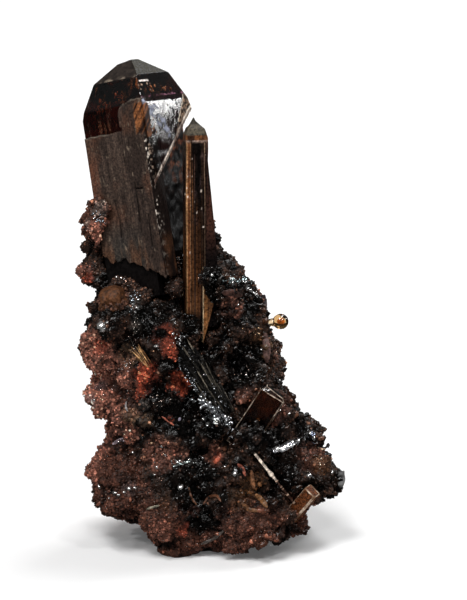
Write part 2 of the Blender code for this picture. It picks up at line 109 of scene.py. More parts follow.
def closed_rings(grid):
    """Points and faces of a tube of rings, closed at each end by the middle point of its ring."""
    rows, columns = grid.shape[:2]
    points = np.vstack((grid.reshape(-1, 3), grid[0].mean(axis=0), grid[-1].mean(axis=0)))
    here = np.arange(columns)
    after = np.roll(here, -1)
    last = (rows - 1) * columns
    start = np.column_stack((after, here, np.full(columns, rows * columns)))
    end = np.column_stack((here + last, after + last, np.full(columns, rows * columns + 1)))
    return points, [grid_faces(rows, columns), np.vstack((start, end))]


def with_ends(values):
    """The values of a grid in one row, with those of the two points that close it."""
    return np.concatenate((values.reshape(-1, *values.shape[2:]), values[0, :1], values[-1, :1]))


def turned_outward(points, faces):
    """The faces as they are, or all turned round if the volume inside them comes out negative."""
    volume = 0.0
    for part in faces:
        for corner in range(1, part.shape[1] - 1):
            first, second, third = (points[part[:, number]] for number in (0, corner, corner + 1))
            volume += np.einsum("ij,ij->", first, np.cross(second, third))
    return faces if volume > 0.0 else [part[:, ::-1] for part in faces]


def write_field(mesh, name, values):
    """Hangs one number, or one colour, on every point of a mesh."""
    if values.ndim == 1:
        mesh.attributes.new(name, "FLOAT", "POINT").data.foreach_set("value", values.astype(np.float32))
        return
    colours = np.column_stack((values, np.ones(len(values)))).astype(np.float32)
    mesh.attributes.new(name, "FLOAT_COLOR", "POINT").data.foreach_set("color", colours.ravel())


def mesh_of(name, points, faces, **fields):
    """A mesh in metres from points in millimetres, arrays of faces, and values to hang on the points."""
    faces = turned_outward(points, faces)
    mesh = bpy.data.meshes.new(name)
    loops = np.concatenate([part.ravel() for part in faces]).astype(np.int32)
    sizes = np.concatenate([np.full(len(part), part.shape[1]) for part in faces])
    starts = np.concatenate(((0,), np.cumsum(sizes)[:-1])).astype(np.int32)
    mesh.vertices.add(len(points))
    mesh.vertices.foreach_set("co", (points * MM).ravel())
    mesh.loops.add(len(loops))
    mesh.loops.foreach_set("vertex_index", loops)
    mesh.polygons.add(len(starts))
    mesh.polygons.foreach_set("loop_start", starts)
    mesh.update(calc_edges=True)
    for field, values in fields.items():
        write_field(mesh, field, values)
    return mesh


def link_piece(mesh, material):
    """The mesh as a piece of the specimen, named like its mesh."""
    piece = bpy.data.objects.new(mesh.name, mesh)
    bpy.context.scene.collection.objects.link(piece)
    mesh.materials.clear()
    mesh.materials.append(material)
    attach(piece, "root")
    print(piece.name, len(mesh.polygons), "faces")
    return piece


# %% [markdown]
# ## Noise in arrays
# Growth, breakage and crust are all some kind of noise. Two kinds are enough: clouds, which are smooth
# random numbers, and cells, which are domes with creases between them.

# %% Clouds and cells
def lattice(cells, seed):
    """A repeatable number from 0 to 1 for each cell of whole numbers."""
    return np.modf(np.abs(np.sin(cells @ np.array((127.1, 311.7, 74.7)) + seed) * 43758.5453))[0]


def cloud(points, seed):
    """The random numbers at the eight corners of each point's cell, eased across the cell."""
    cell = np.floor(points)
    part = points - cell
    ease = part * part * (3.0 - 2.0 * part)
    total = np.zeros(points.shape[:-1])
    for corner in np.ndindex(2, 2, 2):
        share = np.prod(np.where(np.array(corner) == 1, ease, 1.0 - ease), axis=-1)
        total += share * lattice(cell + corner, seed)
    return total


def clouds(points, seed, octaves=3):
    """Clouds of several sizes, each half as large and half as strong as the one before, from 0 to 1."""
    total = sum(0.5**number * cloud(points * 2.0**number, seed + 17.0 * number) for number in range(octaves))
    return total / (2.0 - 0.5 ** (octaves - 1))


def cell_distance(points, size, seed):
    """Distance to the nearest of one scattered point per cell, over the cell size."""
    scaled = points / size
    corner = np.floor(scaled)
    nearest = np.full(points.shape[:-1], 9.0)
    for step in np.ndindex(3, 3, 3):
        cell = corner + np.array(step) - 1.0
        spot = cell + np.stack([lattice(cell, seed + number * 5.3) for number in range(3)], axis=-1)
        nearest = np.minimum(nearest, np.linalg.norm(spot - scaled, axis=-1))
    return nearest


def fibres(across, aside, along, seed):
    """Streaks along a crystal, from 0 to 1: clouds that change fast across it and slowly along it."""
    total = np.zeros(np.broadcast(across, aside, along).shape)
    for wide, tall, share in ((1.7, 0.16, 0.40), (5.0, 0.35, 0.33), (13.0, 0.8, 0.27)):
        where = np.stack(np.broadcast_arrays(across * wide, aside * wide, along * tall), axis=-1)
        total += share * cloud(where, seed + wide)
    return total


def eased(values, low, high):
    """0 below low, 1 above high, and a smooth step between. High may be the smaller."""
    part = np.clip((values - low) / (high - low), 0.0, 1.0)
    return part * part * (3.0 - 2.0 * part)


def mixed(first, second, share):
    """Two colours, or arrays of them, mixed by an array of shares."""
    return np.asarray(first) * (1.0 - share[..., None]) + np.asarray(second) * share[..., None]


def from_line(across, along, line):
    """The distance to the nearest piece of a line through points."""
    nearest = np.full(np.shape(across), 9.0)
    for (x0, y0), (x1, y1) in zip(line, line[1:]):
        length = (x1 - x0) ** 2 + (y1 - y0) ** 2
        share = np.clip(((across - x0) * (x1 - x0) + (along - y0) * (y1 - y0)) / length, 0.0, 1.0)
        away = np.hypot(across - x0 - share * (x1 - x0), along - y0 - share * (y1 - y0))
        nearest = np.minimum(nearest, away)
    return nearest


# %% [markdown]
# ## Shader maths
# A finish is a small network of nodes. Written as Python expressions it stays readable: a Wire stands for
# an output socket, and sums and products of wires add the Math nodes they need.

# %% A wire and a finish
class Wire:
    """An output socket whose number can be added to, multiplied and so on."""

    def __init__(self, finish, socket):
        self.finish = finish
        self.socket = socket

    def math(self, operation, *others):
        return self.finish.node("ShaderNodeMath", {"operation": operation}, [self, *others])

    def __add__(self, other):
        return self.math("ADD", other)

    def __sub__(self, other):
        return self.math("SUBTRACT", other)

    def __mul__(self, other):
        return self.math("MULTIPLY", other)

    __radd__ = __add__
    __rmul__ = __mul__

    def ramp(self, low, high, start=0.0, end=1.0):
        """The number carried smoothly from start at low to end at high, and level outside."""
        values = {"Value": self, "From Min": low, "From Max": high, "To Min": start, "To Max": end}
        return self.finish.node("ShaderNodeMapRange", {"interpolation_type": "SMOOTHSTEP"}, values)


class Finish:
    """A material under construction, with its node tree."""

    def __init__(self, name):
        self.material = bpy.data.materials.new(name)
        self.material.use_nodes = True
        self.tree = self.material.node_tree
        self.tree.nodes.clear()

    def node(self, kind, settings=None, sockets=None, output=0):
        """Adds a node: its settings first, then the value or the wire of each socket, by name or in order."""
        node = self.tree.nodes.new(kind)
        for name, value in (settings or {}).items():
            setattr(node, name, value)
        pairs = sockets.items() if isinstance(sockets, dict) else enumerate(sockets or [])
        for name, value in pairs:
            if isinstance(value, Wire):
                self.tree.links.new(value.socket, node.inputs[name])
            else:
                node.inputs[name].default_value = value
        return Wire(self, node.outputs[output])

    def place(self):
        """The Object coordinates in millimetres."""
        here = self.node("ShaderNodeTexCoord", output="Object")
        return self.node("ShaderNodeVectorMath", {"operation": "SCALE"}, {"Vector": here, "Scale": 1.0 / MM})

    def field(self, name, output="Fac"):
        """A value that the mesh carries on its points."""
        return self.node("ShaderNodeAttribute", {"attribute_name": name}, output=output)

    def noise(self, where, scale, detail=3.0, roughness=0.55):
        """Cloud noise from 0 to 1 with this many clouds to the millimetre."""
        values = {"Vector": where, "Scale": scale, "Detail": detail, "Roughness": roughness}
        return self.node("ShaderNodeTexNoise", {}, values)

    def mix(self, factor, first, second, blend="MIX"):
        """Two colours mixed by a factor."""
        settings = {"data_type": "RGBA", "blend_type": blend}
        return self.node("ShaderNodeMix", settings, {0: factor, 6: colour(first), 7: colour(second)}, 2)

    def end(self, shader, volume=None):
        """Joins the shader, and the volume inside, to the material's output."""
        sockets = {"Surface": shader}
        if volume is not None:
            sockets["Volume"] = volume
        out = self.tree.nodes.new("ShaderNodeOutputMaterial")
        for name, wire in sockets.items():
            self.tree.links.new(wire.socket, out.inputs[name])
        return self.material


def colour(value):
    """A wire as it is, or three numbers as a colour with full alpha."""
    return value if isinstance(value, Wire) else (*value, 1.0)


# %% [markdown]
# ## Crystal finish
# Xenotime is a clear mineral, stained brown, that bends light strongly (index 1.78). Its colour comes from
# the depth of crystal that light crosses, so it is an absorption inside and not a paint. Where the crystal
# is clouded or its skin is etched, light stops at the surface: the mesh carries a film value for how much,
# and the colour that shows there.

# %% Crystal finishes
XENOTIME_INDEX = 1.78


def crystal_bump(finish, where, stretch, depth, strength):
    """Growth lines: noise squeezed along the crystal so that it becomes streaks, with small pits."""
    squeezed = finish.node("ShaderNodeMapping", {"vector_type": "POINT"}, {"Vector": where, "Scale": stretch})
    height = finish.noise(squeezed, 1.0, 4.0, 0.6) + finish.noise(where, 5.0, 5.0, 0.65) * 0.5
    return finish.node("ShaderNodeBump", {}, {"Height": height, "Strength": strength, "Distance": depth * MM})


def crystal_body(finish, where, gloss, stretch, depth, level, strength):
    """The see-through part of a crystal's finish."""
    rough = finish.noise(where, 1.6, 4.0).ramp(0.40, 0.75, gloss, gloss + 0.20)
    values = {
        "Base Color": colour((1.0, 0.93, 0.85)),
        "Roughness": rough,
        "IOR": XENOTIME_INDEX,
        "Specular IOR Level": level,
        "Transmission Weight": 1.0,
        "Normal": crystal_bump(finish, where, stretch, depth, strength),
    }
    return finish.node("ShaderNodeBsdfPrincipled", {}, values)


def absorption(finish, absorbed, density):
    values = {"Color": colour(absorbed), "Density": density}
    return finish.node("ShaderNodeVolumeAbsorption", {}, values)


def clear_crystal(name, absorbed, density, stretch=(5.0, 5.0, 0.6), depth=0.02, gloss=0.05, level=0.5):
    """Glossy see-through crystal with an even absorption inside."""
    finish = Finish(name)
    body = crystal_body(finish, finish.place(), gloss, stretch, depth, level, 0.6)
    return finish.end(body, absorption(finish, absorbed, density))


def filmed_crystal(name, absorbed, density, dullness, stretch=(5.0, 5.0, 0.6), depth=0.02, gloss=0.04):
    """See-through crystal, clouded where its film is near 1, in the tint that its mesh carries. Where there
    is no film its skin is smooth."""
    finish = Finish(name)
    where = finish.place()
    film = finish.field("film")
    body = crystal_body(finish, where, gloss, stretch, depth, 0.5, film * 0.6 + 0.04)
    speck = finish.noise(where, 6.0, 4.0, 0.7)
    grain = finish.mix(speck.ramp(0.35, 0.7), (0.45, 0.45, 0.45), (1.7, 1.6, 1.5))
    values = {
        "Base Color": finish.mix(1.0, finish.field("tint", "Color"), grain, "MULTIPLY"),
        "Roughness": speck.ramp(0.3, 0.7, dullness - 0.12, dullness + 0.12),
        "Specular IOR Level": 0.18,
        "Normal": crystal_bump(finish, where, stretch, 2.0 * depth, 0.6),
    }
    skin = finish.node("ShaderNodeBsdfPrincipled", {}, values)
    cover = (film + (speck - 0.5) * 0.7).ramp(0.25, 0.75)
    both = finish.node("ShaderNodeMixShader", {}, [cover, body, skin])
    return finish.end(both, absorption(finish, absorbed, density))


def skin_finish(name, gloss, spread, bump, index=1.5, cells=5.0, level=0.3, metallic=0.0, wet=False):
    """An opaque finish in the tint that the mesh carries, with fine specks and bumps. Where the mesh says
    that it is wet, it is smoother."""
    finish = Finish(name)
    where = finish.place()
    speck = finish.noise(where, cells, 4.0, 0.7)
    rough = speck.ramp(0.3, 0.7, gloss, gloss + spread)
    rough = rough * finish.field("wet").ramp(0.0, 1.0, 1.0, 0.3) if wet else rough
    grain = finish.mix(speck.ramp(0.35, 0.68), (0.45, 0.45, 0.45), (1.7, 1.65, 1.6))
    height = finish.noise(where, cells * 1.7, 4.0, 0.7)
    values = {
        "Base Color": finish.mix(1.0, finish.field("tint", "Color"), grain, "MULTIPLY"),
        "Roughness": rough,
        "Metallic": metallic,
        "IOR": index,
        "Specular IOR Level": level,
        "Normal": finish.node("ShaderNodeBump", {}, {"Height": height, "Strength": 0.7, "Distance": bump * MM}),
    }
    return finish.end(finish.node("ShaderNodeBsdfPrincipled", {}, values))


# %% [markdown]
# ## The crystal frame
# Each crystal is worked out standing upright, then leaned back, leaned to the right and moved to its
# place, exactly like its solid. Across a square crystal, one coordinate runs towards its right front face
# and the other towards its left front face. Its section is a square ring with its corners kept.

# %% Places and rings
PLACES = {
    "main_crystal": ((-5.09, 2.6, 29.2), (15.0, -9.3)),
    "tall_crystal": ((-0.99, -3.0, 16.2), (8.0, 0.0)),
    "amber_nub": ((4.0, 0.5, 15.45), (0.0, 84.0)),
    "brown_stub": ((-6.6, -3.3, 17.6), (-22.0, -6.0)),
    "rutile_sheaf": ((0.75, -4.35, 9.9), (3.0, -33.0)),
    "tan_needles": ((-4.15, -4.75, 13.6), (2.0, -35.0)),
    "long_needle": ((5.9, -4.35, 3.7), (-13.0, -35.0)),
}
AXIAL_RATIO = 0.875
LOW_RISE = AXIAL_RATIO
STEEP_RISE = 3.0 * AXIAL_RATIO


def leaned(vectors, name):
    """Vectors turned about X by minus the lean back, then about Y by the lean to the right."""
    back, right = np.radians(PLACES[name][1])
    about_x = np.array(((1, 0, 0), (0, np.cos(back), np.sin(back)), (0, -np.sin(back), np.cos(back))))
    about_y = np.array(((np.cos(right), 0, np.sin(right)), (0, 1, 0), (-np.sin(right), 0, np.cos(right))))
    return vectors @ (about_y @ about_x).T


def placed(points, name):
    """Leaned points, moved to the crystal's place."""
    return leaned(points, name) + np.array(PLACES[name][0])


def upright(right_front, left_front, height, azimuth):
    """Crystal coordinates as points: the right front face looks to that azimuth."""
    turn = math.radians(azimuth)
    toward = np.array((math.sin(turn), -math.cos(turn), 0.0))
    aside = np.array((-math.cos(turn), -math.sin(turn), 0.0))
    level = right_front[..., None] * toward + left_front[..., None] * aside
    return level + height[..., None] * np.array((0.0, 0.0, 1.0))


def square_ring(sides):
    """Positions round a square from -1 to 1 each way, with so many steps on each of its four sides, from
    the right front side through the left front, left back and right back ones."""
    parts = [np.linspace(-1.0, 1.0, count, endpoint=False) for count in sides]
    ones = [np.ones(count) for count in sides]
    first = np.concatenate((ones[0], -parts[1], -ones[2], parts[3]))
    second = np.concatenate((parts[0], ones[1], -parts[2], -ones[3]))
    return first, second


def between(low, high, share):
    """From low at -1 to high at 1."""
    return low + (high - low) * 0.5 * (share + 1.0)


def narrowed(reach, height, rise, along):
    """How far out a sloping face is at each height, if it passes the reach at one height and has this
    rise for each step inwards."""
    return reach - (along - height) / rise


def stepped(breaks, counts):
    """Heights from each break to the next one, in so many equal steps."""
    return np.concatenate(
        [np.linspace(high, low, count, endpoint=False) for high, low, count in zip(breaks, breaks[1:], counts)]
    )


# %% [markdown]
# ## The main crystal
# A square prism with a steep and a low pyramid. Below a diagonal step its right front face lies a
# millimetre deeper, so the head overhangs. The rings are level at the top, tip until they are parallel to
# the diagonal, and come level again at the root, which puts a row of points along every edge.

# %% Main crystal's body
MAIN_AZIMUTH = 55.0
MAIN_SIDE = 2.74
MAIN_BACK = 3.0
MAIN_CORE_FRONT = 2.52
MAIN_RECESS = 1.65
MAIN_ROOT = -12.4
MAIN_BREAKS = (4.9, 3.376, 3.298, 3.245, 1.408, 0.83)
STEEP_START = 0.83
LOW_START = 3.35
DIAGONAL_RISE = math.tan(math.radians(42.2))
DIAGONAL_START = 0.16 + DIAGONAL_RISE * (MAIN_BACK - MAIN_SIDE)
STEP_BEVEL = 0.19


def main_rows():
    """For each ring its height at the right back edge, its tilt and the reach of its right front face."""
    top = stepped(MAIN_BREAKS, (18, 2, 2, 26, 9))
    lip = STEP_BEVEL * math.hypot(1.0, DIAGONAL_RISE)
    share = np.linspace(0.0, 1.0, 40)
    head = STEEP_START + (DIAGONAL_START + lip - STEEP_START) * share
    bevel = np.linspace(1.0, 0.0, 6)[1:]
    under = np.linspace(MAIN_SIDE - STEP_BEVEL, MAIN_RECESS, 9)[1:]
    down = np.linspace(0.0, 1.0, 115)[1:]
    heights = (top, head, DIAGONAL_START + lip * bevel, np.full(8, DIAGONAL_START), DIAGONAL_START + MAIN_ROOT * down)
    tilts = (np.zeros(len(top)), DIAGONAL_RISE * share, np.full(13, DIAGONAL_RISE), DIAGONAL_RISE * (1.0 - down))
    turning = MAIN_SIDE - STEP_BEVEL * (1.0 - bevel)
    reach = (np.full(len(top) + len(share), MAIN_SIDE), turning, under, np.full(len(down), MAIN_RECESS))
    return [np.concatenate(part)[:, None] for part in (heights, tilts, reach)]


def pyramid(along, side, steep, low):
    """The reach of a face of the prism, or of the two pyramids above it where they are nearer."""
    steep = narrowed(steep, STEEP_START, STEEP_RISE, along)
    low = narrowed(low, LOW_START, LOW_RISE, along)
    return np.minimum(side, np.minimum(steep, low))


def main_body():
    """Rings between the four reaches at each height. Returns the crystal's three coordinates."""
    heights, tilts, reach = main_rows()
    first, second = square_ring((66, 56, 34, 34))
    along = heights - tilts * (between(-MAIN_BACK, MAIN_CORE_FRONT, second) + MAIN_BACK)
    right_front = pyramid(along, reach, 2.96, 2.02)
    left_front = pyramid(along, MAIN_CORE_FRONT, 2.74, 1.70)
    left_back = pyramid(along, MAIN_SIDE, 2.74, 1.70)
    right_back = pyramid(along, MAIN_BACK, 2.85, 1.85)
    across = between(-left_back, right_front, first)
    aside = between(-right_back, left_front, second)
    along = heights - tilts * (aside + MAIN_BACK)
    cut = 4.54 - 0.158 * (0.3 - across)
    return across, aside, np.minimum(along, cut), first, second


def below_diagonal(aside, along):
    """How far a point lies below the diagonal step."""
    return DIAGONAL_START - DIAGONAL_RISE * (aside + MAIN_BACK) - along


# The bright part of the plate, and its frayed black spots: centre and radii from its middle line.
PLATE_LINE = ((-2.3, 1.70), (-1.9, 1.25), (-1.03, 0.75), (-0.5, 0.05), (0.2, -0.60), (0.6, -0.35), (1.2, 0.1))
CREAM_LINE = ((2.33, 1.7), (1.22, -0.2))
PLATE_SPOTS = (
    (0.95, 1.35, 0.14, 0.10),
    (1.20, 1.25, 0.07, 0.20),
    (1.42, 1.40, 0.10, 0.07),
    (1.32, 1.00, 0.07, 0.12),
    (1.60, 1.12, 0.06, 0.12),
    (0.80, 0.60, 0.10, 0.22),
    (1.00, 0.78, 0.05, 0.10),
    (0.30, 1.05, 0.20, 0.03),
)


# How strong the painted highlight on the strip along the diagonal step is, from its lower left end to its upper right
# one.
STRIP_LIGHT = ((-2.2, 0.1), (-1.8, 0.9), (-1.5, 0.7), (-1.3, 0.1), (-0.9, 0.8), (-0.2, 0.7), (0.3, 0.2), (1.7, 0.35), (2.1, 1.0))


def plate_spots(right, along, noise):
    """1 inside the frayed black spots of the plate."""
    cover = np.zeros(along.shape)
    for centre, height, wide, tall in PLATE_SPOTS:
        away = np.hypot((right - centre) / wide, (along - height) / tall) + 1.1 * (noise - 0.5)
        cover = np.maximum(cover, eased(away, 1.15, 0.85))
    return cover


def beyond_cream(aside, along):
    """How far a point of the plate lies to the right of its cream line."""
    return -aside - 1.22 - 0.584 * (along + 0.2)


def main_relief(across, aside, along, first, second):
    """Steps outwards along each face: broken hollows below the diagonal, pits beside it on the head,
    and low growth steps on the left front face."""
    below = below_diagonal(aside, along)
    on_right = (first > 0.999) & (np.abs(second) < 0.999)
    on_left = (second > 0.999) & (np.abs(first) < 0.999)
    where = np.stack((across, aside, along), axis=-1)
    hollow = 0.34 * (clouds(where * 0.9, 3.0) - 0.55) - 0.10 * (cell_distance(where, 0.8, 4.0) - 0.4)
    band = eased(beyond_cream(aside, along), 0.0, 0.1) * eased(below, -2.4, -1.9)
    pits = -0.09 * band * eased(cell_distance(where, 0.33, 8.0), 0.25, 0.5)
    waves = 0.005 * (clouds(where * 0.55, 9.0, 2) - 0.5) + 0.0015 * (clouds(where * 3.0, 10.0, 2) - 0.5)
    right = np.where(below > 0.05, hollow, pits + waves)
    steps = 0.05 * np.floor(3.0 * clouds(where * (0.5, 0.5, 0.9), 12.0)) / 3.0
    left = -steps - 0.03 * fibres(across, aside, along, 5.0)
    return np.where(on_right, right, 0.0), np.where(on_left, left, 0.0)


ORANGE_STREAKS = ((0.014, 0.005, 0.003), (0.22, 0.080, 0.027))


def window_streaks(across, aside, along):
    """Orange with dark lines that cross it diagonally."""
    where = along + 1.1 * aside - 1.1 * across
    streak = fibres(1.3 * where, along * 0.1, along * 0.2, 31.0)
    return mixed(*ORANGE_STREAKS, eased(streak + 0.12 * np.sin(11.0 * where), 0.42, 0.66))


def main_colours(across, aside, along, first, second):
    """The colour and the film of each point of the main crystal's body, with painted highlights, glints, reflections
    and shade among them.
    """
    where = np.stack((across, aside, along), axis=-1)
    noise = clouds(where * 1.3, 21.0)
    fine = clouds(where * 4.0, 22.0)
    streak = fibres(across * 1.5, aside * 1.5, along * 2.0, 23.0)
    below = below_diagonal(aside, along)
    on_right = first > 0.999
    on_left = second > 0.999
    film = 0.10 + 0.45 * eased(streak, 0.50, 0.70)
    tint = mixed((0.016, 0.006, 0.004), (0.075, 0.026, 0.011), eased(streak, 0.42, 0.66) * eased(noise, 0.3, 0.6))
    low_left = eased(along, 3.15, 3.35) * on_left
    film = np.maximum(film, 0.85 * low_left)
    tint = mixed(tint, mixed((0.012, 0.009, 0.008), (0.036, 0.029, 0.025), fine), low_left)
    # Pale dots along the lower edge of the low left pyramid face: painted glints.
    dots = low_left * eased(along, 3.5, 3.3) * eased(fine, 0.5, 0.62)
    tint = mixed(tint, (0.22, 0.18, 0.14), dots)
    low_right = eased(along, 3.30, 3.45) * on_right
    film = np.maximum(film, 0.60 * low_right)
    tint = mixed(tint, (0.033, 0.031, 0.021), low_right)
    # A pale bar on the steep right face, near its top: a painted highlight.
    painted_highlight = on_right * eased(np.hypot((aside - 1.30) / 0.62, (along - 2.93) / 0.09) + 0.9 * (fine - 0.5), 1.1, 0.85)
    tint = mixed(tint, (0.85, 0.80, 0.78), painted_highlight)
    film = np.maximum(film, painted_highlight)
    # Pale crumbs on the steep right face: painted glints.
    crumb = eased(clouds(where * 6.0, 24.0, 2), 0.62, 0.72) * eased(aside, -0.2, 1.2) * eased(aside, 2.3, 1.9)
    crumbs = on_right * eased(along, 2.0, 2.3) * eased(along, 3.1, 2.9) * crumb
    tint = mixed(tint, (0.50, 0.36, 0.27), crumbs)
    film = np.maximum(film, crumbs)
    violet = on_right * eased(along, 1.95, 1.80) * eased(along, 1.66, 1.74) * eased(fine, 0.35, 0.6)
    tint = mixed(tint, (0.16, 0.07, 0.11), violet)
    film = np.maximum(film, 0.8 * violet)
    patch = on_left * eased(np.hypot((across - 2.35) / 0.42, (along - 2.85) / 0.50) + 0.6 * (fine - 0.5), 1.1, 0.8)
    tint = mixed(tint, (0.20, 0.060, 0.020), patch * eased(fine, 0.2, 0.5))
    film = np.maximum(film, 0.75 * patch)
    # Below the diagonal step the face is near black with red-brown mottles, partly its own dark colour and partly
    # painted shade under the overhanging head.
    recess = eased(below, 0.0, 0.2) * on_right
    wet = clouds(where * 2.6, 26.0)
    red = eased(along, -6.0, -1.0) * eased(wet, 0.48, 0.66) * (0.35 + 0.65 * eased(-aside, 0.0, 1.5))
    tint = mixed(tint, mixed((0.003, 0.002, 0.002), (0.20, 0.066, 0.030), red), recess)
    film = np.where(recess > 0.5, 0.80 + 0.3 * red + 0.3 * eased(along, -4.0, -7.0), film)
    # Below the planks the left front face is near black: painted shade of the hollow under them.
    painted_shade_below_planks = on_left * eased(along, -8.4, -8.8)
    tint = mixed(tint, (0.004, 0.003, 0.003), painted_shade_below_planks)
    film = np.maximum(film, 1.1 * painted_shade_below_planks)
    plate = on_right * (below < 0.02) * eased(along, 1.75, 1.6)
    film = film * (1.0 - plate) + 0.06 * plate
    right = -aside
    shade = from_line(right, along, PLATE_LINE)
    under = plate * (along < np.interp(right, *np.array(PLATE_LINE).T)) * (right < 1.3)
    mottle = clouds(where * 2.2, 25.0)
    blotch = clouds(where * 3.4, 27.0)
    # Under the plate's line, near it: bluish mottles, a painted reflection, and grey bits, painted glints, on black.
    near = eased(shade, 1.15, 0.25) * eased(right, 0.5, -0.2)
    blue = mixed((0.005, 0.005, 0.007), (0.34, 0.38, 0.50), near * eased(blotch, 0.42, 0.58))
    tint = mixed(tint, blue, under)
    bits = under * eased(shade, 1.6, 1.2) * eased(clouds(where * 5.0, 29.0, 2), 0.70, 0.78)
    tint = mixed(tint, (0.22, 0.24, 0.24), bits)
    film = np.maximum(film, 1.1 * under * np.maximum(near * eased(blotch, 0.36, 0.50), bits))
    # Bluish grey patches on the bright part of the plate, along its line: a painted reflection.
    veil = plate * (1.0 - under) * eased(shade, 0.5, 0.1) * eased(right, 0.4, -0.4) * eased(blotch, 0.50, 0.60)
    tint = mixed(tint, (0.30, 0.33, 0.42), veil)
    film = np.maximum(film, veil)
    spots = plate * plate_spots(right, along, fine)
    tint = mixed(tint, (0.004, 0.004, 0.005), spots)
    film = np.maximum(film, 0.95 * spots)
    band = plate * eased(beyond_cream(aside, along), 0.0, 0.06)
    grit = clouds(where * 7.0, 28.0, 2)
    tint = mixed(tint, mixed((0.012, 0.008, 0.006), (0.34, 0.23, 0.16), eased(grit, 0.42, 0.60)), band)
    film = np.maximum(film, 0.9 * band)
    cream = plate * eased(from_line(right, along, CREAM_LINE), 0.10, 0.05)
    tint = mixed(tint, (0.75, 0.66, 0.55), cream * eased(fine, 0.2, 0.4))
    film = np.maximum(film, cream)
    # The strip along the diagonal step: pale along two rails where STRIP_LIGHT is high, a painted highlight.
    edge = on_right * eased(below, -0.62, -0.57) * eased(below, 0.05, 0.0)
    rail = np.exp(-(((below + 0.50) / 0.10) ** 2)) + 0.7 * np.exp(-(((below + 0.12) / 0.10) ** 2))
    lit = np.interp(right, *np.array(STRIP_LIGHT).T) * (0.15 + rail) * (0.5 + 0.9 * eased(grit, 0.35, 0.6))
    pale = mixed((0.050, 0.018, 0.011), (0.90, 0.80, 0.70), np.clip(lit, 0.0, 1.0))
    tint = mixed(tint, pale, edge)
    film = np.maximum(film, 1.1 * edge)
    window = on_right * eased(-aside + 0.25 * (mottle - 0.5), -1.85, -2.0) * eased(along, 1.5, 1.2)
    window *= eased(along + 0.5 * noise, -1.0, -0.6)
    tint = mixed(tint, window_streaks(across, aside, along), window)
    film = np.maximum(film, window)
    return tint, film


def build_main_body(material):
    across, aside, along, first, second = main_body()
    out_right, out_left = main_relief(across, aside, along, first, second)
    tint, film = main_colours(across, aside, along, first, second)
    grid = upright(across + out_right, aside + out_left, along, MAIN_AZIMUTH)
    points, faces = closed_rings(placed(grid, "main_crystal"))
    mesh = mesh_of("main_body", points, faces, tint=with_ends(tint), film=with_ends(film))
    return link_piece(mesh, material)


dark_crystal = filmed_crystal("dark brown crystal", (0.50, 0.22, 0.08), 1650.0, 0.42)
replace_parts(build_main_body(dark_crystal), "main_crystal")

# %% [markdown]
# ## The two outer layers
# On the left front face lie two dull planks of the same crystal, etched along their fibres until they look
# like old wood. A plank is a tube of rectangular rings between two ragged ends.

# %% Planks
def plank(name, width, depth, ends, rows, sides, seed, material):
    """Rings round the rectangle between the two widths and the two depths, from the lower to the upper
    ragged end, closed by ever smaller rings at each end."""
    first, second = square_ring(sides)
    share = np.concatenate((np.zeros(4), np.linspace(0.0, 1.0, rows), np.ones(4)))[:, None]
    size = np.concatenate(((0.05, 0.35, 0.65, 0.9), np.ones(rows), (0.9, 0.65, 0.35, 0.05)))[:, None]
    across = between(*width, first * size)
    deep = between(*depth, second * size)
    low, high = ends(across, deep)
    along = low + (high - low) * share
    deep = np.minimum(deep, narrowed(depth[1], STEEP_START, STEEP_RISE, along))
    edge, front = wood_relief(across, along, deep, seed)
    whole = size > 0.99
    tint = wood_colours(across, along, deep, first, high - along, seed)
    across = across + np.where(np.abs(first) > 0.999, np.sign(first) * edge, 0.0) * whole
    deep = deep + np.where(second > 0.999, front, 0.0) * whole
    points, faces = closed_rings(placed(upright(across, deep, along, MAIN_AZIMUTH), "main_crystal"))
    return link_piece(mesh_of(name, points, faces, tint=with_ends(tint)), material)


def ragged_edge(across, deep, seed):
    """Broken ends: clouds across the plank, from -0.5 to 0.5."""
    return clouds(np.stack((across * 3.0, deep * 2.0, across * 0.0), axis=-1), seed) - 0.5


def left_ends(across, deep):
    """The lower and upper ends of the left plank."""
    low = np.interp(across, (-2.7, -2.0, -0.8, 0.7), (-8.7, -9.15, -9.05, -9.9))
    high = -0.33 + 0.05 * np.floor(3.0 * ragged_edge(across, deep, 42.0))
    return low + 0.8 * ragged_edge(across, deep, 41.0), high + 0.14 * ragged_edge(across, deep, 44.0)


def right_ends(across, deep):
    """The lower and upper ends of the right plank."""
    low = np.interp(across, (0.6, 1.2, 2.6), (-9.9, -10.1, -10.9))
    high = np.interp(across, (0.6, 0.95, 1.8, 2.7), (1.1, 1.5, 1.75, 1.68))
    return low + 0.8 * ragged_edge(across, deep, 43.0), high + 0.2 * ragged_edge(across, deep, 45.0)


# Each crack is a line through points, in millimetres across and along the planks.
CRACKS = (
    ((0.70, -0.1), (0.60, -1.3), (0.53, -2.4), (0.56, -3.2)),
    ((1.17, -4.05), (1.12, -4.45), (1.15, -5.6), (1.05, -6.8)),
    ((1.12, -4.42), (1.80, -4.50)),
    ((-0.9, -5.2), (-0.75, -6.6), (-0.85, -7.6)),
    ((1.9, -6.4), (1.8, -8.6)),
)


def in_crack(across, along):
    """1 in the middle of a crack, fading on both sides."""
    nearest = np.min([from_line(across, along, crack) for crack in CRACKS], axis=0)
    return np.exp(-((nearest / 0.05) ** 2))


def wood_relief(across, along, deep, seed):
    """Finer fibres on the edges; fibres, low terraces and cracks on the front."""
    where = np.stack((across * 0.9, along * 0.25, deep), axis=-1)
    terrace = 0.09 * (np.floor(4.0 * clouds(where, seed)) / 4.0 - 0.5)
    crack = 0.20 * in_crack(across, along)
    front = terrace + 0.10 * (fibres(across, deep * 0.0, along, seed) - 0.5) - crack
    edge = 0.16 * (fibres(deep, across * 0.0, along, seed) - 0.5)
    return edge, front


# How many painted glints, pale crumbs of colour, there are along the right edge, by height.
PAINTED_GLINT_LINE = ((-9.5, 0.1), (-7.6, 0.2), (-6.8, 0.9), (-5.6, 0.8), (-5.0, 0.1), (-3.6, 0.3), (-3.0, 1.0), (-1.4, 1.0), (-0.9, 0.2))


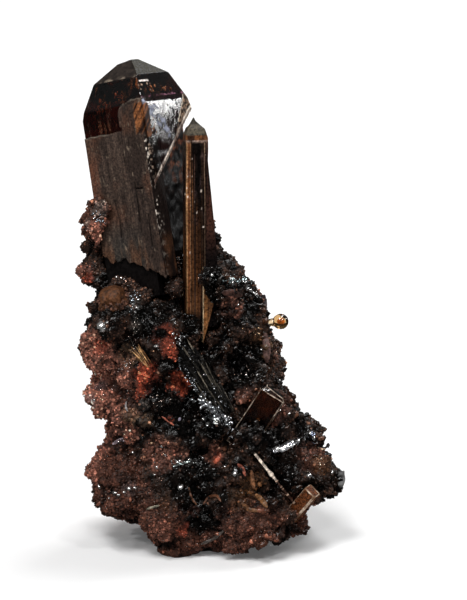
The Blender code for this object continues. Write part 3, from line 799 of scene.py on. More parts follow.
def wood_colours(across, along, deep, first, from_top, seed):
    """Grey-brown with faint streaks and short pale specks, redder at the left edge, dark on the right
    edge with painted glints along it, with a painted highlight along the rim at the top and an orange window
    in the upper right corner."""
    streak = fibres(across, deep * 0.5, along, seed + 1.0)
    where = np.stack((across, along, deep), axis=-1)
    patch = clouds(where * (0.8, 0.5, 1.0), seed + 2.0)
    speck = clouds(where * (7.0, 2.6, 2.0), seed + 3.0, 2)
    tint = mixed((0.026, 0.017, 0.0135), (0.058, 0.039, 0.030), eased(streak + 0.5 * (patch - 0.5), 0.30, 0.70))
    tint = mixed(tint, (0.075, 0.030, 0.016), 0.5 * eased(patch, 0.50, 0.72))
    tint = mixed(tint, (0.030, 0.030, 0.027), 0.6 * eased(along, -6.5, -8.5) * eased(across, 1.6, 0.4))
    reddish = eased(across, -1.0, -2.5) * eased(along, -7.5, -5.5) * eased(patch, 0.42, 0.58)
    reddish *= eased(along, -1.4, -2.8)
    tint = mixed(tint, (0.12, 0.036, 0.016), 0.5 * reddish * eased(streak, 0.38, 0.6))
    tint = mixed(tint, (0.15, 0.115, 0.085), 0.75 * eased(speck, 0.70, 0.82))
    tint = mixed(tint, (0.008, 0.005, 0.004), 0.8 * eased(speck, 0.28, 0.18))
    side = eased(first, 0.98, 1.0) * (across > 1.5) * eased(along, -0.7, -1.2)
    tint = mixed(tint, (0.010, 0.006, 0.005), side)
    # Pale crumbs along the right edge: painted glints.
    crumb = clouds(where * (4.0, 5.0, 5.0), seed + 5.0, 2)
    frayed = side * eased(crumb, 0.60, 0.70) * eased(deep, 1.9, 2.6) * np.interp(along, *np.array(PAINTED_GLINT_LINE).T)
    tint = mixed(tint, (0.90, 0.80, 0.70), frayed)
    window = eased(across, 1.95, 2.15) * eased(along + 0.6 * (patch - 0.5), -1.0, -0.6) * (along < 1.4)
    tint = mixed(tint, window_streaks(across, deep, along), window)
    foot = eased(along, -7.4, -8.8) * eased(patch + 0.4 * (streak - 0.5), 0.3, 0.6)
    tint = mixed(tint, (0.085, 0.036, 0.017), 0.7 * foot)
    tint = tint * (1.0 - 0.9 * in_crack(across, along))[..., None]
    # A pale rim at the top: a painted highlight.
    rim = eased(from_top, 0.10, 0.03) * (deep > 2.0) * eased(patch, 0.35, 0.6)
    return mixed(tint, (0.13, 0.115, 0.095), 0.7 * rim)


dull_wood = skin_finish("dull fibrous crystal", 0.38, 0.3, 0.03, 1.4, 7.0, 0.2)
plank("left_layer", (-2.68, 0.63), (1.3, 2.69), left_ends, 150, (20, 70, 12, 12), 51.0, dull_wood)
plank("right_layer", (0.66, 2.62), (1.35, 2.80), right_ends, 190, (28, 44, 10, 12), 56.0, dull_wood)

# %% [markdown]
# ## Many copies of one shape
# Grains, needles and the cracks inside a crystal come in hundreds. One small shape is copied to all their
# places at once, each copy with its own three axes, sizes and tint, and the copies are one mesh.

# %% Copies in one mesh
def unit(vectors):
    return vectors / np.linalg.norm(vectors, axis=-1, keepdims=True)


def many(name, shape, places, axes, sizes, tints, material):
    """Each place gets the shape's points, scaled along its own three axes."""
    points, faces = shape
    spread = sum(
        points[None, :, number, None] * (sizes[:, number, None] * axes[number])[:, None] for number in range(3)
    )
    offsets = np.arange(len(places))[:, None, None] * len(points)
    copies = [(part[None] + offsets).reshape(-1, part.shape[1]) for part in faces]
    everywhere = (places[:, None] + spread).reshape(-1, 3)
    mesh = mesh_of(name, everywhere, copies, tint=np.repeat(tints, len(points), axis=0))
    return link_piece(mesh, material)


def three_axes(along, draw):
    """Unit vectors: across at random, the one square to both, and along."""
    along = unit(along)
    across = unit(np.cross(along, draw.normal(size=along.shape)))
    return across, np.cross(along, across), along


def ring_points(sides):
    turn = np.arange(sides) * 2.0 * math.pi / sides
    return np.column_stack((np.cos(turn), np.sin(turn), np.zeros(sides)))


def pointed_prism(sides, shoulder, foot=-1.0):
    """A prism of unit radius up to its shoulder, with a point at height 1 and one at its foot."""
    ring = ring_points(sides)
    points, faces = closed_rings(np.stack((ring + (0.0, 0.0, foot + 0.25), ring + (0.0, 0.0, shoulder))))
    points[-2] = (0.0, 0.0, foot)
    points[-1] = (0.0, 0.0, 1.0)
    return points, faces


def tablet(sides):
    """A flat prism from height -1 to 1, a little narrower at its base."""
    ring = ring_points(sides)
    return closed_rings(np.stack((0.8 * ring + (0.0, 0.0, -1.0), ring + (0.0, 0.0, 1.0))))


def double_point(sides):
    """Two pyramids base to base: the cheapest closed grain."""
    here = np.arange(sides)
    after = np.roll(here, -1)
    up = np.column_stack((here, after, np.full(sides, sides)))
    down = np.column_stack((after, here, np.full(sides, sides + 1)))
    return np.vstack((ring_points(sides), ((0, 0, 1), (0, 0, -1)))), [np.vstack((up, down))]


# %% [markdown]
# ## Veils inside the crystal
# A stained crystal is never empty: thin cracks healed inside it hang like veils and catch light, which is
# what makes the dark head glow red and orange. Each veil is a narrow disc that stands along the crystal.

# %% Veils
# Centre in the crystal's own coordinates, half width and half height, and colour.
VEILS = (
    ((-0.6, 2.15, 1.6), (0.75, 0.45), (0.30, 0.06, 0.016)),
    ((0.5, 2.0, 2.1), (0.55, 0.35), (0.16, 0.03, 0.010)),
    ((-1.5, 2.1, 0.9), (0.40, 0.60), (0.16, 0.03, 0.010)),
    ((1.55, 1.6, 2.5), (0.42, 0.30), (0.30, 0.09, 0.03)),
    ((2.2, 0.8, 2.3), (0.35, 0.28), (0.40, 0.14, 0.05)),
    ((2.3, -0.3, 2.2), (0.50, 0.20), (0.30, 0.10, 0.04)),
    ((2.1, -1.3, 2.0), (0.40, 0.25), (0.22, 0.06, 0.02)),
    ((0.2, 1.9, 0.4), (0.50, 0.40), (0.10, 0.02, 0.008)),
)
VEIL_REPEATS = 16


def add_veils(material):
    """Narrow discs scattered about the centre of each veil, facing more or less to the front."""
    draw = np.random.default_rng(7)
    centres, spreads, tints = (np.repeat(np.array(part), VEIL_REPEATS, axis=0) for part in zip(*VEILS))
    shift = draw.normal(0.0, 1.0, centres.shape) * np.column_stack((spreads[:, :1], spreads[:, :1] * 0.3, spreads[:, 1:]))
    spreads = spreads * draw.uniform(0.15, 0.55, (len(centres), 1)) * (0.35, 1.0)
    tints = tints * draw.uniform(0.3, 1.2, (len(centres), 1))
    centres = placed(upright(*(centres + 0.6 * shift).T, MAIN_AZIMUTH), "main_crystal")
    upward = leaned(np.array((0.0, 0.0, 1.0)), "main_crystal") + draw.normal(0.0, 0.12, centres.shape)
    facing = np.array((-0.1, -0.9, 0.35)) + draw.normal(0.0, 0.3, centres.shape)
    across = unit(np.cross(upward, facing))
    axes = (across, unit(upward), unit(np.cross(across, upward)))
    sizes = np.column_stack((spreads, np.full(len(centres), 0.015)))
    return many("veils", double_point(7), centres, axes, sizes, tints, material)


add_veils(skin_finish("healed cracks", 0.3, 0.2, 0.02))

# %% [markdown]
# ## The tall crystal
# A slender prism with strong ridges along it, a golden edge on each side of its front face, two pyramids
# and a spike. Its front corners are cut by narrow faces. A rib widens downwards along its right side, and
# a pointed blade stands in front of its foot.

# %% Tall crystal
TALL_AZIMUTH = 98.0
TALL_TOP = 14.55
TALL_SIDES = (0.84, 0.76, 0.76, 0.76)
TALL_TAPERS = (0.0008, 0.01396, 0.0, 0.01396)
SPIKE_REACHES = (-0.11, 0.02, 0.15, 0.02)
SPIKE_RISE = math.tan(math.radians(64.0))


def tall_reaches(along):
    """How far out the right, front, left and back faces are at each height, with and without the roof."""
    steep = narrowed(0.66, TALL_TOP - 0.95, STEEP_RISE, along)
    low = narrowed(0.33, TALL_TOP - 0.53, LOW_RISE, along)
    down = TALL_TOP - 1.5 - along
    sides = [(side + taper * down)[:, None] for side, taper in zip(TALL_SIDES, TALL_TAPERS)]
    roofed = []
    for side, reach in zip(sides, SPIKE_REACHES):
        spike = np.where(along > TALL_TOP - 0.75, narrowed(reach, TALL_TOP, SPIKE_RISE, along), -9.0)
        roofed.append(np.minimum(side, np.maximum(np.minimum(steep, low), spike)[:, None]))
    return roofed, sides


def corner_cut(across, aside, sign, depth, side, front):
    """Points past the plane that cuts a front corner this deep are moved back on it."""
    past = np.maximum((sign * across + aside - (side + front) + depth * math.sqrt(2.0)) * 0.5, 0.0)
    return across - sign * past, aside - past


def gold_streaks(streak, warm):
    """Dark brown where the streaks are low, gold where they are high, richer where it is warm."""
    deep = mixed((0.009, 0.005, 0.004), (0.050, 0.020, 0.008), warm)
    gold = mixed((0.075, 0.035, 0.020), (0.26, 0.115, 0.040), warm)
    return mixed(deep, gold, eased(streak, 0.52, 0.68))


# Stripes along the front face of the tall crystal: place across it, half width, height where it fades in
# and height where it is full, and colour.
STRIPES = (
    (-0.55, 0.12, 15.0, 14.0, (0.110, 0.036, 0.012)),
    (-0.70, 0.040, 15.0, 14.0, (0.330, 0.175, 0.080)),
    (-0.46, 0.022, 15.0, 13.0, (0.240, 0.130, 0.065)),
    (-0.30, 0.030, 12.5, 8.5, (0.150, 0.060, 0.022)),
    (-0.16, 0.020, 13.0, 11.0, (0.060, 0.030, 0.022)),
    (-0.02, 0.028, 9.5, 7.0, (0.150, 0.056, 0.018)),
    (0.10, 0.022, 9.5, 6.0, (0.110, 0.040, 0.014)),
    (0.20, 0.030, 9.0, 6.5, (0.130, 0.048, 0.016)),
    (0.36, 0.018, 12.0, 7.0, (0.110, 0.055, 0.030)),
    (0.57, 0.026, 15.0, 13.0, (0.230, 0.150, 0.100)),
)


def tall_colours(across, aside, height, first):
    """Dark brown with golden stripes and streaks, a golden band at the left corner, a line at the right
    one, maroon on the right face, and olive grey on the pyramid."""
    streak = fibres(across, aside, height, 81.0)
    where = np.stack((across, aside, height), axis=-1)
    mottle = clouds(where * (4.0, 4.0, 1.6), 82.0)
    front = eased(aside, 0.3, 0.5)
    warm = eased(height, 10.5, 4.0) * eased(height, 0.6, 1.8)
    tint = gold_streaks(streak, warm) * (1.0 - 0.75 * front)[..., None]
    sway = 0.05 * (clouds(where * (0.5, 0.5, 0.4), 83.0) - 0.5)
    for place, half_width, faint, full, gold in STRIPES:
        share = np.exp(-(((across + sway - place) / half_width) ** 2)) * front
        share *= eased(height, faint, full) * eased(height, 0.5, 1.6)
        tint = mixed(tint, np.array(gold) * (0.35 + 1.1 * eased(streak, 0.3, 0.65))[..., None], share)
    tint = mixed(tint, (0.075, 0.045, 0.045), 0.5 * eased(mottle, 0.62, 0.78) * eased(height, 5.0, 9.0))
    dots = clouds(where * (6.0, 6.0, 4.0), 84.0, 2)
    tint = mixed(tint, (0.80, 0.70, 0.62), eased(dots, 0.80, 0.85) * eased(height, 4.0, 7.0))
    right = eased(across, 0.62, 0.74)
    tint = mixed(tint, mixed((0.006, 0.003, 0.003), (0.050, 0.018, 0.011), eased(streak, 0.50, 0.72)), right)
    brown = eased(height, TALL_TOP - 1.75, TALL_TOP - 1.6)
    tint = mixed(tint, mixed((0.030, 0.012, 0.006), (0.13, 0.050, 0.018), eased(mottle, 0.4, 0.7)), brown)
    roof = eased(height, TALL_TOP - 1.22, TALL_TOP - 1.16)
    tint = mixed(tint, mixed((0.036, 0.030, 0.020), (0.085, 0.073, 0.050), mottle), roof)
    tint = mixed(tint, (0.022, 0.018, 0.010), eased(height, TALL_TOP - 0.55, TALL_TOP - 0.40))
    rim = np.exp(-(((height - (TALL_TOP - 1.62)) / 0.04) ** 2)) * (aside > 0.4)
    tint = mixed(tint, (0.45, 0.36, 0.32), rim * eased(mottle, 0.3, 0.5))
    film = 0.75 + 0.35 * eased(streak, 0.45, 0.65) + 0.4 * roof + 0.3 * rim
    return tint, np.clip(film, 0.0, 1.1)


def build_tall(material):
    """Rings from the spike to the root, with ridges that fade out on the pyramid."""
    breaks = TALL_TOP - np.array((0.02, 0.254, 0.451, 0.651, 0.753, 1.2125, 1.5))
    along = np.concatenate((stepped(breaks, (4, 4, 4, 3, 8, 6)), np.linspace(breaks[-1], 0.0, 150)))
    (right, front, left, back), sides = tall_reaches(along)
    first, second = square_ring((40, 46, 30, 24))
    across = between(-left, right, first)
    aside = between(-back, front, second)
    across, aside = corner_cut(across, aside, 1.0, 0.25, sides[0], sides[1])
    across, aside = corner_cut(across, aside, -1.0, 0.07, sides[2], sides[1])
    height = along[:, None] * np.ones_like(across)
    fade = eased(height, TALL_TOP - 1.5, TALL_TOP - 1.9)
    grown = 1.0 + 0.16 * (fibres(across, aside, height, 71.0) - 0.5) * fade
    points, faces = closed_rings(placed(upright(across * grown, aside * grown, height, TALL_AZIMUTH), "tall_crystal"))
    tint, film = tall_colours(across, aside, height, first)
    mesh = mesh_of("tall_body", points, faces, tint=with_ends(tint), film=with_ends(film))
    return link_piece(mesh, material)


golden_crystal = filmed_crystal("golden brown crystal", (0.62, 0.34, 0.08), 1500.0, 0.35, (9.0, 9.0, 0.5), 0.02)
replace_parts(build_tall(golden_crystal), "tall_crystal")


# %% The rib and the blade at its foot
def upright_slab(name, along, left, right, back, front, tint_of, material):
    """A tube of rings between four reaches at each height."""
    along, left, right, front = np.broadcast_arrays(along[:, None], left, right, front)
    first, second = square_ring((10, 20, 8, 12))
    across = between(left, right, first)
    aside = between(back, front, second)
    height = along * np.ones_like(across)
    streak = fibres(across, aside, height, 91.0)
    aside = aside + 0.06 * (streak - 0.5) * (second > 0.99)
    height = np.minimum(height, top_of_foot(across)) if name == "foot_blade" else height
    points, faces = closed_rings(placed(upright(across, aside, height, TALL_AZIMUTH), "tall_crystal"))
    tint = with_ends(tint_of(first + 0.0 * across, height, streak))
    mesh = mesh_of(name, points, faces, tint=tint, film=np.full(len(points), 0.72))
    return link_piece(mesh, material)


def top_of_foot(across):
    """The foot blade's roof slopes down to the right."""
    return 4.2 - math.tan(math.radians(30.0)) * (across - 0.38)


def rib_tint(first, height, streak):
    """Maroon, near black at the bottom."""
    warm = eased(height, 4.5, 7.5)
    return mixed((0.005, 0.003, 0.003), (0.045, 0.017, 0.011), warm * eased(streak, 0.42, 0.66))


def foot_tint(first, height, streak):
    """Brown, with a pale left edge."""
    brown = mixed((0.045, 0.018, 0.008), (0.19, 0.080, 0.026), eased(streak, 0.35, 0.65))
    return mixed(brown, (0.40, 0.31, 0.20), 0.9 * eased(first, -0.80, -0.90) * eased(streak, 0.2, 0.4))


down = np.linspace(12.4, 0.0, 90)
rib_right = np.minimum(1.45, 1.35 - (down - 5.9) * math.tan(math.radians(5.6)))[:, None]
rib_front = (0.58 + 0.01396 * (TALL_TOP - 1.5 - down))[:, None]
upright_slab("rib", down, 0.0, rib_right, -0.4, rib_front, rib_tint, golden_crystal)
down = np.linspace(4.25, -1.06, 60)
foot_right = np.minimum(1.12, 1.12 + 0.2773 * (down - 1.6))[:, None]
upright_slab("foot_blade", down, 0.38, foot_right, -0.3, 1.12, foot_tint, golden_crystal)

# %% [markdown]
# ## The stone's surface
# The stone has overhangs and a pocket for each crystal, so no single grid of two parameters can follow
# it. A copy of its solid is remeshed to an even fine grid instead, and every point is then moved along its
# normal by domes and creases of several sizes, worked out for all points at once.

# %% Copy, remesh and crumple the stone
SKIN_VOXEL = 0.165
# How dark the skin under the grains is painted: painted shade between the grains.
CREVICE_SHADE = 0.5
SKIN_WAVES = ((2.3, 0.20), (1.05, 0.26), (0.5, 0.16), (0.27, 0.06))


def vertex_array(mesh):
    """The points of a mesh in millimetres."""
    points = np.empty(len(mesh.vertices) * 3, np.float32)
    mesh.vertices.foreach_get("co", points)
    return points.reshape(-1, 3).astype(float) / MM


def normal_array(mesh):
    normals = np.empty(len(mesh.vertices) * 3, np.float32)
    mesh.vertex_normals.foreach_get("vector", normals)
    return normals.reshape(-1, 3).astype(float)


def merged_copy(node, name):
    """A copy of a solid's mesh with its loose triangles joined at their corners and its flat faces whole."""
    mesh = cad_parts[node].data.copy()
    mesh.name = name
    bm = bmesh.new()
    bm.from_mesh(mesh)
    bmesh.ops.remove_doubles(bm, verts=bm.verts, dist=1e-7)
    bmesh.ops.dissolve_limit(bm, angle_limit=math.radians(0.5), verts=bm.verts, edges=bm.edges)
    bm.to_mesh(mesh)
    bm.free()
    return mesh


def applied(piece):
    """Puts the result of a piece's modifiers in its mesh."""
    graph = bpy.context.evaluated_depsgraph_get()
    mesh = bpy.data.meshes.new_from_object(piece.evaluated_get(graph))
    mesh.name = piece.name
    piece.modifiers.clear()
    piece.data = mesh
    return piece


def stone_skin(material):
    """The stone's solid as a fine even mesh."""
    piece = link_piece(merged_copy("matrix", "stone"), material)
    remesh = piece.modifiers.new("even grid", "REMESH")
    remesh.mode = "VOXEL"
    remesh.voxel_size = SKIN_VOXEL * MM
    smooth = piece.modifiers.new("ease the steps", "SMOOTH")
    smooth.factor = 0.5
    smooth.iterations = 2
    return applied(piece)


# Soft shifts: centre, radius and how far its points move, where the crust departs from its solid.
SHIFTS = (
    ((-5.4, -2.6, 0.6), 2.6, (1.3, 0.2, 0.2)),
    ((-8.0, -1.6, 2.4), 2.2, (-1.1, 0.0, -0.2)),
    ((7.4, 0.8, 8.9), 1.8, (-1.3, 0.0, 0.2)),
    ((8.9, 1.0, 6.1), 1.6, (-1.1, 0.0, 0.0)),
    ((5.2, -0.5, 11.2), 1.2, (0.6, 0.0, 0.0)),
    ((4.8, 0.0, 17.6), 1.6, (-1.1, 0.0, -0.2)),
    ((6.6, -3.6, 1.0), 2.6, (0.6, -0.2, 0.0)),
    ((2.4, -2.0, 19.8), 1.4, (-0.7, 0.0, 0.0)),
    ((4.9, 1.35, 17.0), 1.6, (-1.1, 0.0, 0.0)),
    ((5.4, 0.7, 13.9), 1.5, (-1.0, 0.0, 0.0)),
    ((9.0, -1.8, 6.6), 1.5, (-0.9, 0.0, 0.0)),
    ((7.0, 1.4, 7.8), 1.3, (0.9, 0.0, 0.1)),
    ((6.2, -3.8, 0.2), 1.7, (-0.6, 0.3, 0.5)),
    ((-5.2, -5.4, 1.2), 1.5, (0.6, 0.3, 0.4)),
)


def crumpled(piece, paints):
    """Each point moved out by (middle - distance to the nearest seed) for every size of dome, and painted
    darker in the creases, as shade."""
    mesh = piece.data
    points = vertex_array(mesh)
    rise = 0.3 * (clouds(points * 0.8, 15.0) - 0.55)
    for number, (size, height) in enumerate(SKIN_WAVES):
        rise += height * (0.5 - cell_distance(points, size, 5.0 + number)) / 0.4
    held = np.clip(points[:, 2] / 0.6, 0.0, 1.0)
    points += normal_array(mesh) * (rise * held)[:, None]
    for centre, radius, shift in SHIFTS:
        share = eased(np.linalg.norm(points - np.array(centre), axis=-1) / radius, 1.0, 0.35)
        points += share[:, None] * np.array(shift)
    # Darker where the rise is low: painted shade in the creases.
    tint = crust_tint(points, paints) * (1.0 - 0.85 * eased(rise, 0.0, -0.4))[:, None]
    points[:, 2] = np.maximum(points[:, 2], 0.0)
    mesh.vertices.foreach_set("co", (points * MM).ravel())
    write_field(mesh, "tint", CREVICE_SHADE * tint)
    write_field(mesh, "wet", eased(tint[:, 0], 0.035, 0.010))
    mesh.update()
    return tint


# %% [markdown]
# ## The crust's colours
# Rust red and sugary at the left and along the base, black and glassy in the hollows and on the right,
# where in the hollows the black is also painted shade, with a few spots of brick red in the middle. Soft
# balls of colour, frayed by clouds, put each where it is.
# Those on the front are measured on the picture, in millimetres across and up, and their centres are where
# the line of sight meets the stone.

# %% Crust colours
BLACK = (0.0060, 0.0048, 0.0042)
UMBER = (0.050, 0.024, 0.015)
RUST = (0.440, 0.175, 0.120)
DUSK = (0.135, 0.050, 0.031)
VIOLET = (0.25, 0.17, 0.17)
BRICK = (0.55, 0.100, 0.048)
HONEY = (0.13, 0.055, 0.020)
TAN = (0.26, 0.15, 0.085)
ASH = (0.15, 0.125, 0.11)

# Colour, place across and up the picture, radius and strength.
FRONT_PAINTS = (
    (DUSK, (-7.7, 4.1), 3.6, 0.95),
    (DUSK, (-5.4, 2.0), 3.0, 0.95),
    (DUSK, (-2.4, 0.2), 2.9, 0.95),
    (DUSK, (1.0, 0.0), 2.7, 0.85),
    (DUSK, (3.4, 1.2), 2.3, 0.8),
    (DUSK, (6.3, 1.5), 1.8, 0.8),
    (DUSK, (-8.4, 22.4), 2.6, 0.95),
    (DUSK, (-8.6, 15.6), 2.4, 0.9),
    (RUST, (-7.3, 10.9), 3.4, 0.95),
    (RUST, (-8.2, 13.4), 1.6, 0.6),
    (RUST, (-8.1, 5.2), 1.5, 0.75),
    (RUST, (-7.9, 21.4), 1.0, 0.7),
    (RUST, (-8.9, 23.2), 0.9, 0.6),
    (RUST, (-6.2, 7.3), 1.3, 0.5),
    (RUST, (-3.2, 5.8), 1.7, 0.45),
    (RUST, (-8.8, 18.8), 1.0, 0.4),
    (RUST, (0.4, 5.9), 0.9, 0.6),
    (RUST, (-3.4, 0.6), 1.2, 0.3),
    (VIOLET, (-7.7, 10.7), 0.7, 0.7),
    (VIOLET, (-8.3, 9.6), 0.6, 0.5),
    (VIOLET, (-5.6, 3.6), 0.6, 0.4),
    (RUST, (1.4, 16.2), 1.1, 0.35),
    (RUST, (3.6, 17.2), 1.0, 0.25),
    (TAN, (3.9, 13.3), 0.9, 0.35),
    (RUST, (4.6, 13.0), 0.7, 0.35),
    (RUST, (4.5, 9.0), 1.4, 0.30),
    (RUST, (7.2, 5.6), 1.4, 0.30),
    (RUST, (2.4, 10.0), 0.8, 0.25),
    (HONEY, (3.15, 3.8), 1.1, 0.75),
    (HONEY, (2.2, 2.7), 1.0, 0.5),
    (HONEY, (7.9, 5.2), 0.9, 0.75),
    (HONEY, (3.4, 14.2), 0.7, 0.6),
    (HONEY, (-2.9, 2.4), 0.7, 0.4),
    # These black patches lie partly in hollows: under the main crystal, in the pits, the right recess and the cavern
    # at the base. There the black is the crust's own and also painted shade.
    (BLACK, (-6.0, 18.6), 1.4, 1.0),
    (BLACK, (-4.2, 17.9), 1.6, 1.0),
    (BLACK, (-4.6, 15.4), 1.1, 1.0),
    (BLACK, (-3.0, 16.6), 1.6, 1.0),
    (BLACK, (-2.5, 8.6), 2.0, 1.0),
    (BLACK, (0.3, 7.9), 1.4, 1.0),
    (BLACK, (2.1, 12.3), 2.1, 0.95),
    (BLACK, (-1.2, 11.4), 1.5, 1.0),
    (BLACK, (-1.6, 3.9), 2.0, 0.95),
    (BLACK, (-0.6, 1.3), 1.4, 1.0),
    (BLACK, (5.4, 4.7), 1.8, 0.85),
    (BLACK, (6.6, 7.7), 1.2, 0.85),
    (BLACK, (-0.9, 2.2), 1.2, 0.9),
    (BLACK, (2.0, 5.0), 0.8, 0.8),
    (BLACK, (-5.8, 4.1), 0.8, 0.6),
    (BLACK, (-5.6, 9.0), 0.9, 0.7),
    (BRICK, (-3.1, 14.0), 1.1, 0.45),
    (BRICK, (-2.7, 12.9), 0.6, 0.9),
    (BRICK, (-4.4, 11.3), 1.25, 0.95),
    (BRICK, (-4.5, 10.4), 0.6, 0.8),
    (BRICK, (-2.1, 10.9), 1.05, 0.95),
    (BRICK, (-2.8, 8.3), 0.4, 0.6),
    (BRICK, (-5.1, 10.2), 0.7, 0.5),
    (BRICK, (-7.7, 13.4), 0.6, 0.5),
    (BRICK, (-8.55, 18.2), 0.4, 0.7),
    (BRICK, (0.4, 5.8), 0.5, 0.5),
    (BRICK, (-1.0, 2.0), 0.5, 0.5),
    (BRICK, (-1.8, 0.5), 0.6, 0.5),
    # Black pits in the brick patches: the crust's black and painted shade in the pits.
    (BLACK, (-3.5, 14.3), 0.55, 1.0),
    (BLACK, (-3.8, 13.3), 0.45, 0.95),
    (BLACK, (-3.1, 12.2), 0.70, 1.0),
    (BLACK, (-5.4, 13.3), 0.6, 0.8),
    (BLACK, (-0.9, 2.6), 1.3, 0.95),
    (BLACK, (0.6, 2.2), 0.8, 0.8),
    (BLACK, (-4.8, 3.0), 0.8, 0.7),
    (BLACK, (-6.6, 8.2), 0.9, 0.5),
    (BLACK, (6.6, 8.0), 1.2, 0.8),
    (BLACK, (4.3, 2.6), 1.0, 0.8),
    (BLACK, (7.4, 3.8), 0.9, 0.7),
    (BLACK, (0.9, 15.6), 1.2, 0.8),
    (ASH, (-5.3, 16.4), 0.7, 0.5),
    (ASH, (-5.3, 14.8), 0.5, 0.6),
    (ASH, (-7.8, 23.2), 0.8, 0.7),
    (ASH, (-8.5, 21.9), 0.5, 0.6),
    (TAN, (-5.7, 12.8), 0.9, 0.45),
    (TAN, (-5.6, 8.6), 0.7, 0.35),
    (TAN, (-4.4, 8.2), 0.6, 0.30),
    (ASH, (-4.6, 9.4), 0.5, 0.35),
)

# The same for the sides and the back, with a place in the specimen.
OTHER_PAINTS = (
    (RUST, (-8.0, 2.5, 12.5), 4.0, 0.7),
    (RUST, (-7.0, 3.0, 6.0), 5.0, 0.7),
    (RUST, (4.0, 6.0, 6.0), 4.6, 0.5),
    (RUST, (-2.0, 6.0, 15.0), 3.5, 0.45),
    (BRICK, (1.5, 5.4, 11.0), 1.4, 0.6),
    (HONEY, (6.5, 3.5, 4.0), 1.6, 0.5),
)


def on_stone(across, up):
    """Where the line of sight through that place of the picture meets the stone."""
    level = PICTURE_UP.dot(Vector(LOOK_AT))
    aim = Vector(LOOK_AT) + Vector((across - LOOK_AT[0], 0.0, 0.0)) + PICTURE_UP * (up - level)
    found, place, _, _ = stone.ray_cast(EYE * MM, (aim - EYE).normalized())
    return np.array(place) / MM if found else None


def crust_tint(points, paints):
    """The colour at each point: umber and black clouds, then every patch laid over, frayed by clouds."""
    broad = clouds(points * 0.9, 101.0)
    fray = clouds(points * 1.4, 102.0)
    fine = clouds(points * 4.5, 103.0, 2)
    tint = mixed(BLACK, UMBER, eased(broad, 0.40, 0.62))
    for paint, centre, radius, strength in paints:
        away = np.linalg.norm(points - np.array(centre), axis=-1) / radius
        cover = eased(away + 0.8 * (fray - 0.5) + 0.35 * (fine - 0.5), 1.05, 0.70)
        tint = mixed(tint, paint, strength * cover)
    return tint * (0.35 + 1.3 * fine[..., None])


crust = skin_finish("crusted stone", 0.4, 0.25, 0.02, 1.5, 5.5, 0.22, wet=True)
stone = stone_skin(crust)
paints = [(paint, on_stone(*place), radius, strength) for paint, place, radius, strength in FRONT_PAINTS]
print("patches that miss the stone:", sum(part[1] is None for part in paints))
stone_tint = crumpled(stone, (*OTHER_PAINTS, *(part for part in paints if part[1] is not None)))
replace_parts(stone, "matrix")
print("stone:", len(stone.data.polygons), "faces")

# %% [markdown]
# ## Grains
# The crust is made of thousands of small grains. One grain is two pyramids base to base, only eight faces.
# Copies of it are set on the stone at random places, each with its own size, tilt and shade of the colour
# that the stone has there.

# %% Scatter
def surface_samples(mesh, count, draw):
    """Points spread evenly over a mesh, with the normal of the face under each and one of its corners."""
    mesh.calc_loop_triangles()
    triangles = np.empty(len(mesh.loop_triangles) * 3, np.int32)
    mesh.loop_triangles.foreach_get("vertices", triangles)
    triangles = triangles.reshape(-1, 3)
    corners = vertex_array(mesh)[triangles]
    cross = np.cross(corners[:, 1] - corners[:, 0], corners[:, 2] - corners[:, 0])
    areas = np.linalg.norm(cross, axis=1)
    chosen = draw.choice(len(areas), size=count, p=areas / areas.sum())
    first, second = draw.random((2, count, 1))
    flip = first + second > 1.0
    first = np.where(flip, 1.0 - first, first)
    second = np.where(flip, 1.0 - second, second)
    origin = corners[chosen, 0]
    places = origin + first * (corners[chosen, 1] - origin) + second * (corners[chosen, 2] - origin)
    return places, cross[chosen] / areas[chosen, None], triangles[chosen, 0]


def grain_field(name, sample, sizes, tall, lean, shape, material, draw, variety=1.0):
    """Grains of these sizes, up to so many times as tall, leaning off the surface."""
    places, outward, corner = sample
    count = len(places)
    along = outward + draw.normal(0.0, lean, outward.shape)
    heights = sizes * draw.uniform(0.8, tall, count)
    shade = np.exp(draw.normal(-0.35, variety, (count, 1)))
    scales = np.column_stack((sizes, sizes * draw.uniform(0.7, 1.0, count), heights))
    light = eased(stone_tint[corner, 0], 0.006, 0.030)
    brown = mixed(stone_tint[corner], STRAY, (0.2 + 0.3 * light) * (draw.random(count) < STRAY_SHARE))
    tints = np.clip(brown * shade, 0.0, 0.8)
    return many(name, shape, places, three_axes(along, draw), scales, tints, material)


def some(sample, chosen):
    return [part[chosen] for part in sample]


STRAY = (0.12, 0.052, 0.030)
STRAY_SHARE = 0.14
GRAIN_SEED = 4
GRAIN_COUNT = 62000
draw = np.random.default_rng(GRAIN_SEED)
sample = surface_samples(stone.data, GRAIN_COUNT, draw)
heights = sample[0][:, 2]
crowd = 0.22 + 0.78 * eased(stone_tint[sample[2], 0], 0.008, 0.035)
upward = np.argsort(heights)
upward = upward[(heights[upward] > 0.3) & (draw.random(GRAIN_COUNT) < crowd[upward])]
sugar = skin_finish("sugary grains", 0.24, 0.35, 0.01, 1.5, 9.0, 0.3)
for name, variety, chosen in zip(("low", "middle", "high"), (0.55, 0.9, 0.95), np.array_split(upward, 3)):
    spots = some(sample, chosen)
    coarse = eased(clouds(spots[0] * 0.6, 111.0), 0.4, 0.7)
    sizes = 0.06 + 0.05 * coarse + 0.09 * draw.random(len(chosen)) ** 3
    grain_field("grains_" + name, spots, sizes, 1.4, 0.5, double_point(4), sugar, draw, variety)

# %% Larger crystals of the crust
sample = surface_samples(stone.data, 3000, draw)
sample = some(sample, sample[0][:, 2] > 0.5)
rightness = eased(sample[0][:, 0], -4.0, 3.0)
sizes = 0.08 + (0.05 + 0.13 * rightness) * draw.random(len(rightness)) ** 2
glassy = skin_finish("glassy crust crystals", 0.06, 0.14, 0.005, 1.55, 3.0, 0.45)
grain_field("crust_crystals", sample, sizes, 2.4, 0.6, pointed_prism(6, 0.5), glassy, draw, 0.6)

# %% [markdown]
# ## Glints
# What makes such a crust sparkle is the few clean faces that happen to mirror a lamp. Small bright tablets,
# turned roughly half way between the camera and a lamp, stand for them. The large ones and the swarms are
# measured on the picture; the rest are scattered over the whole crust.

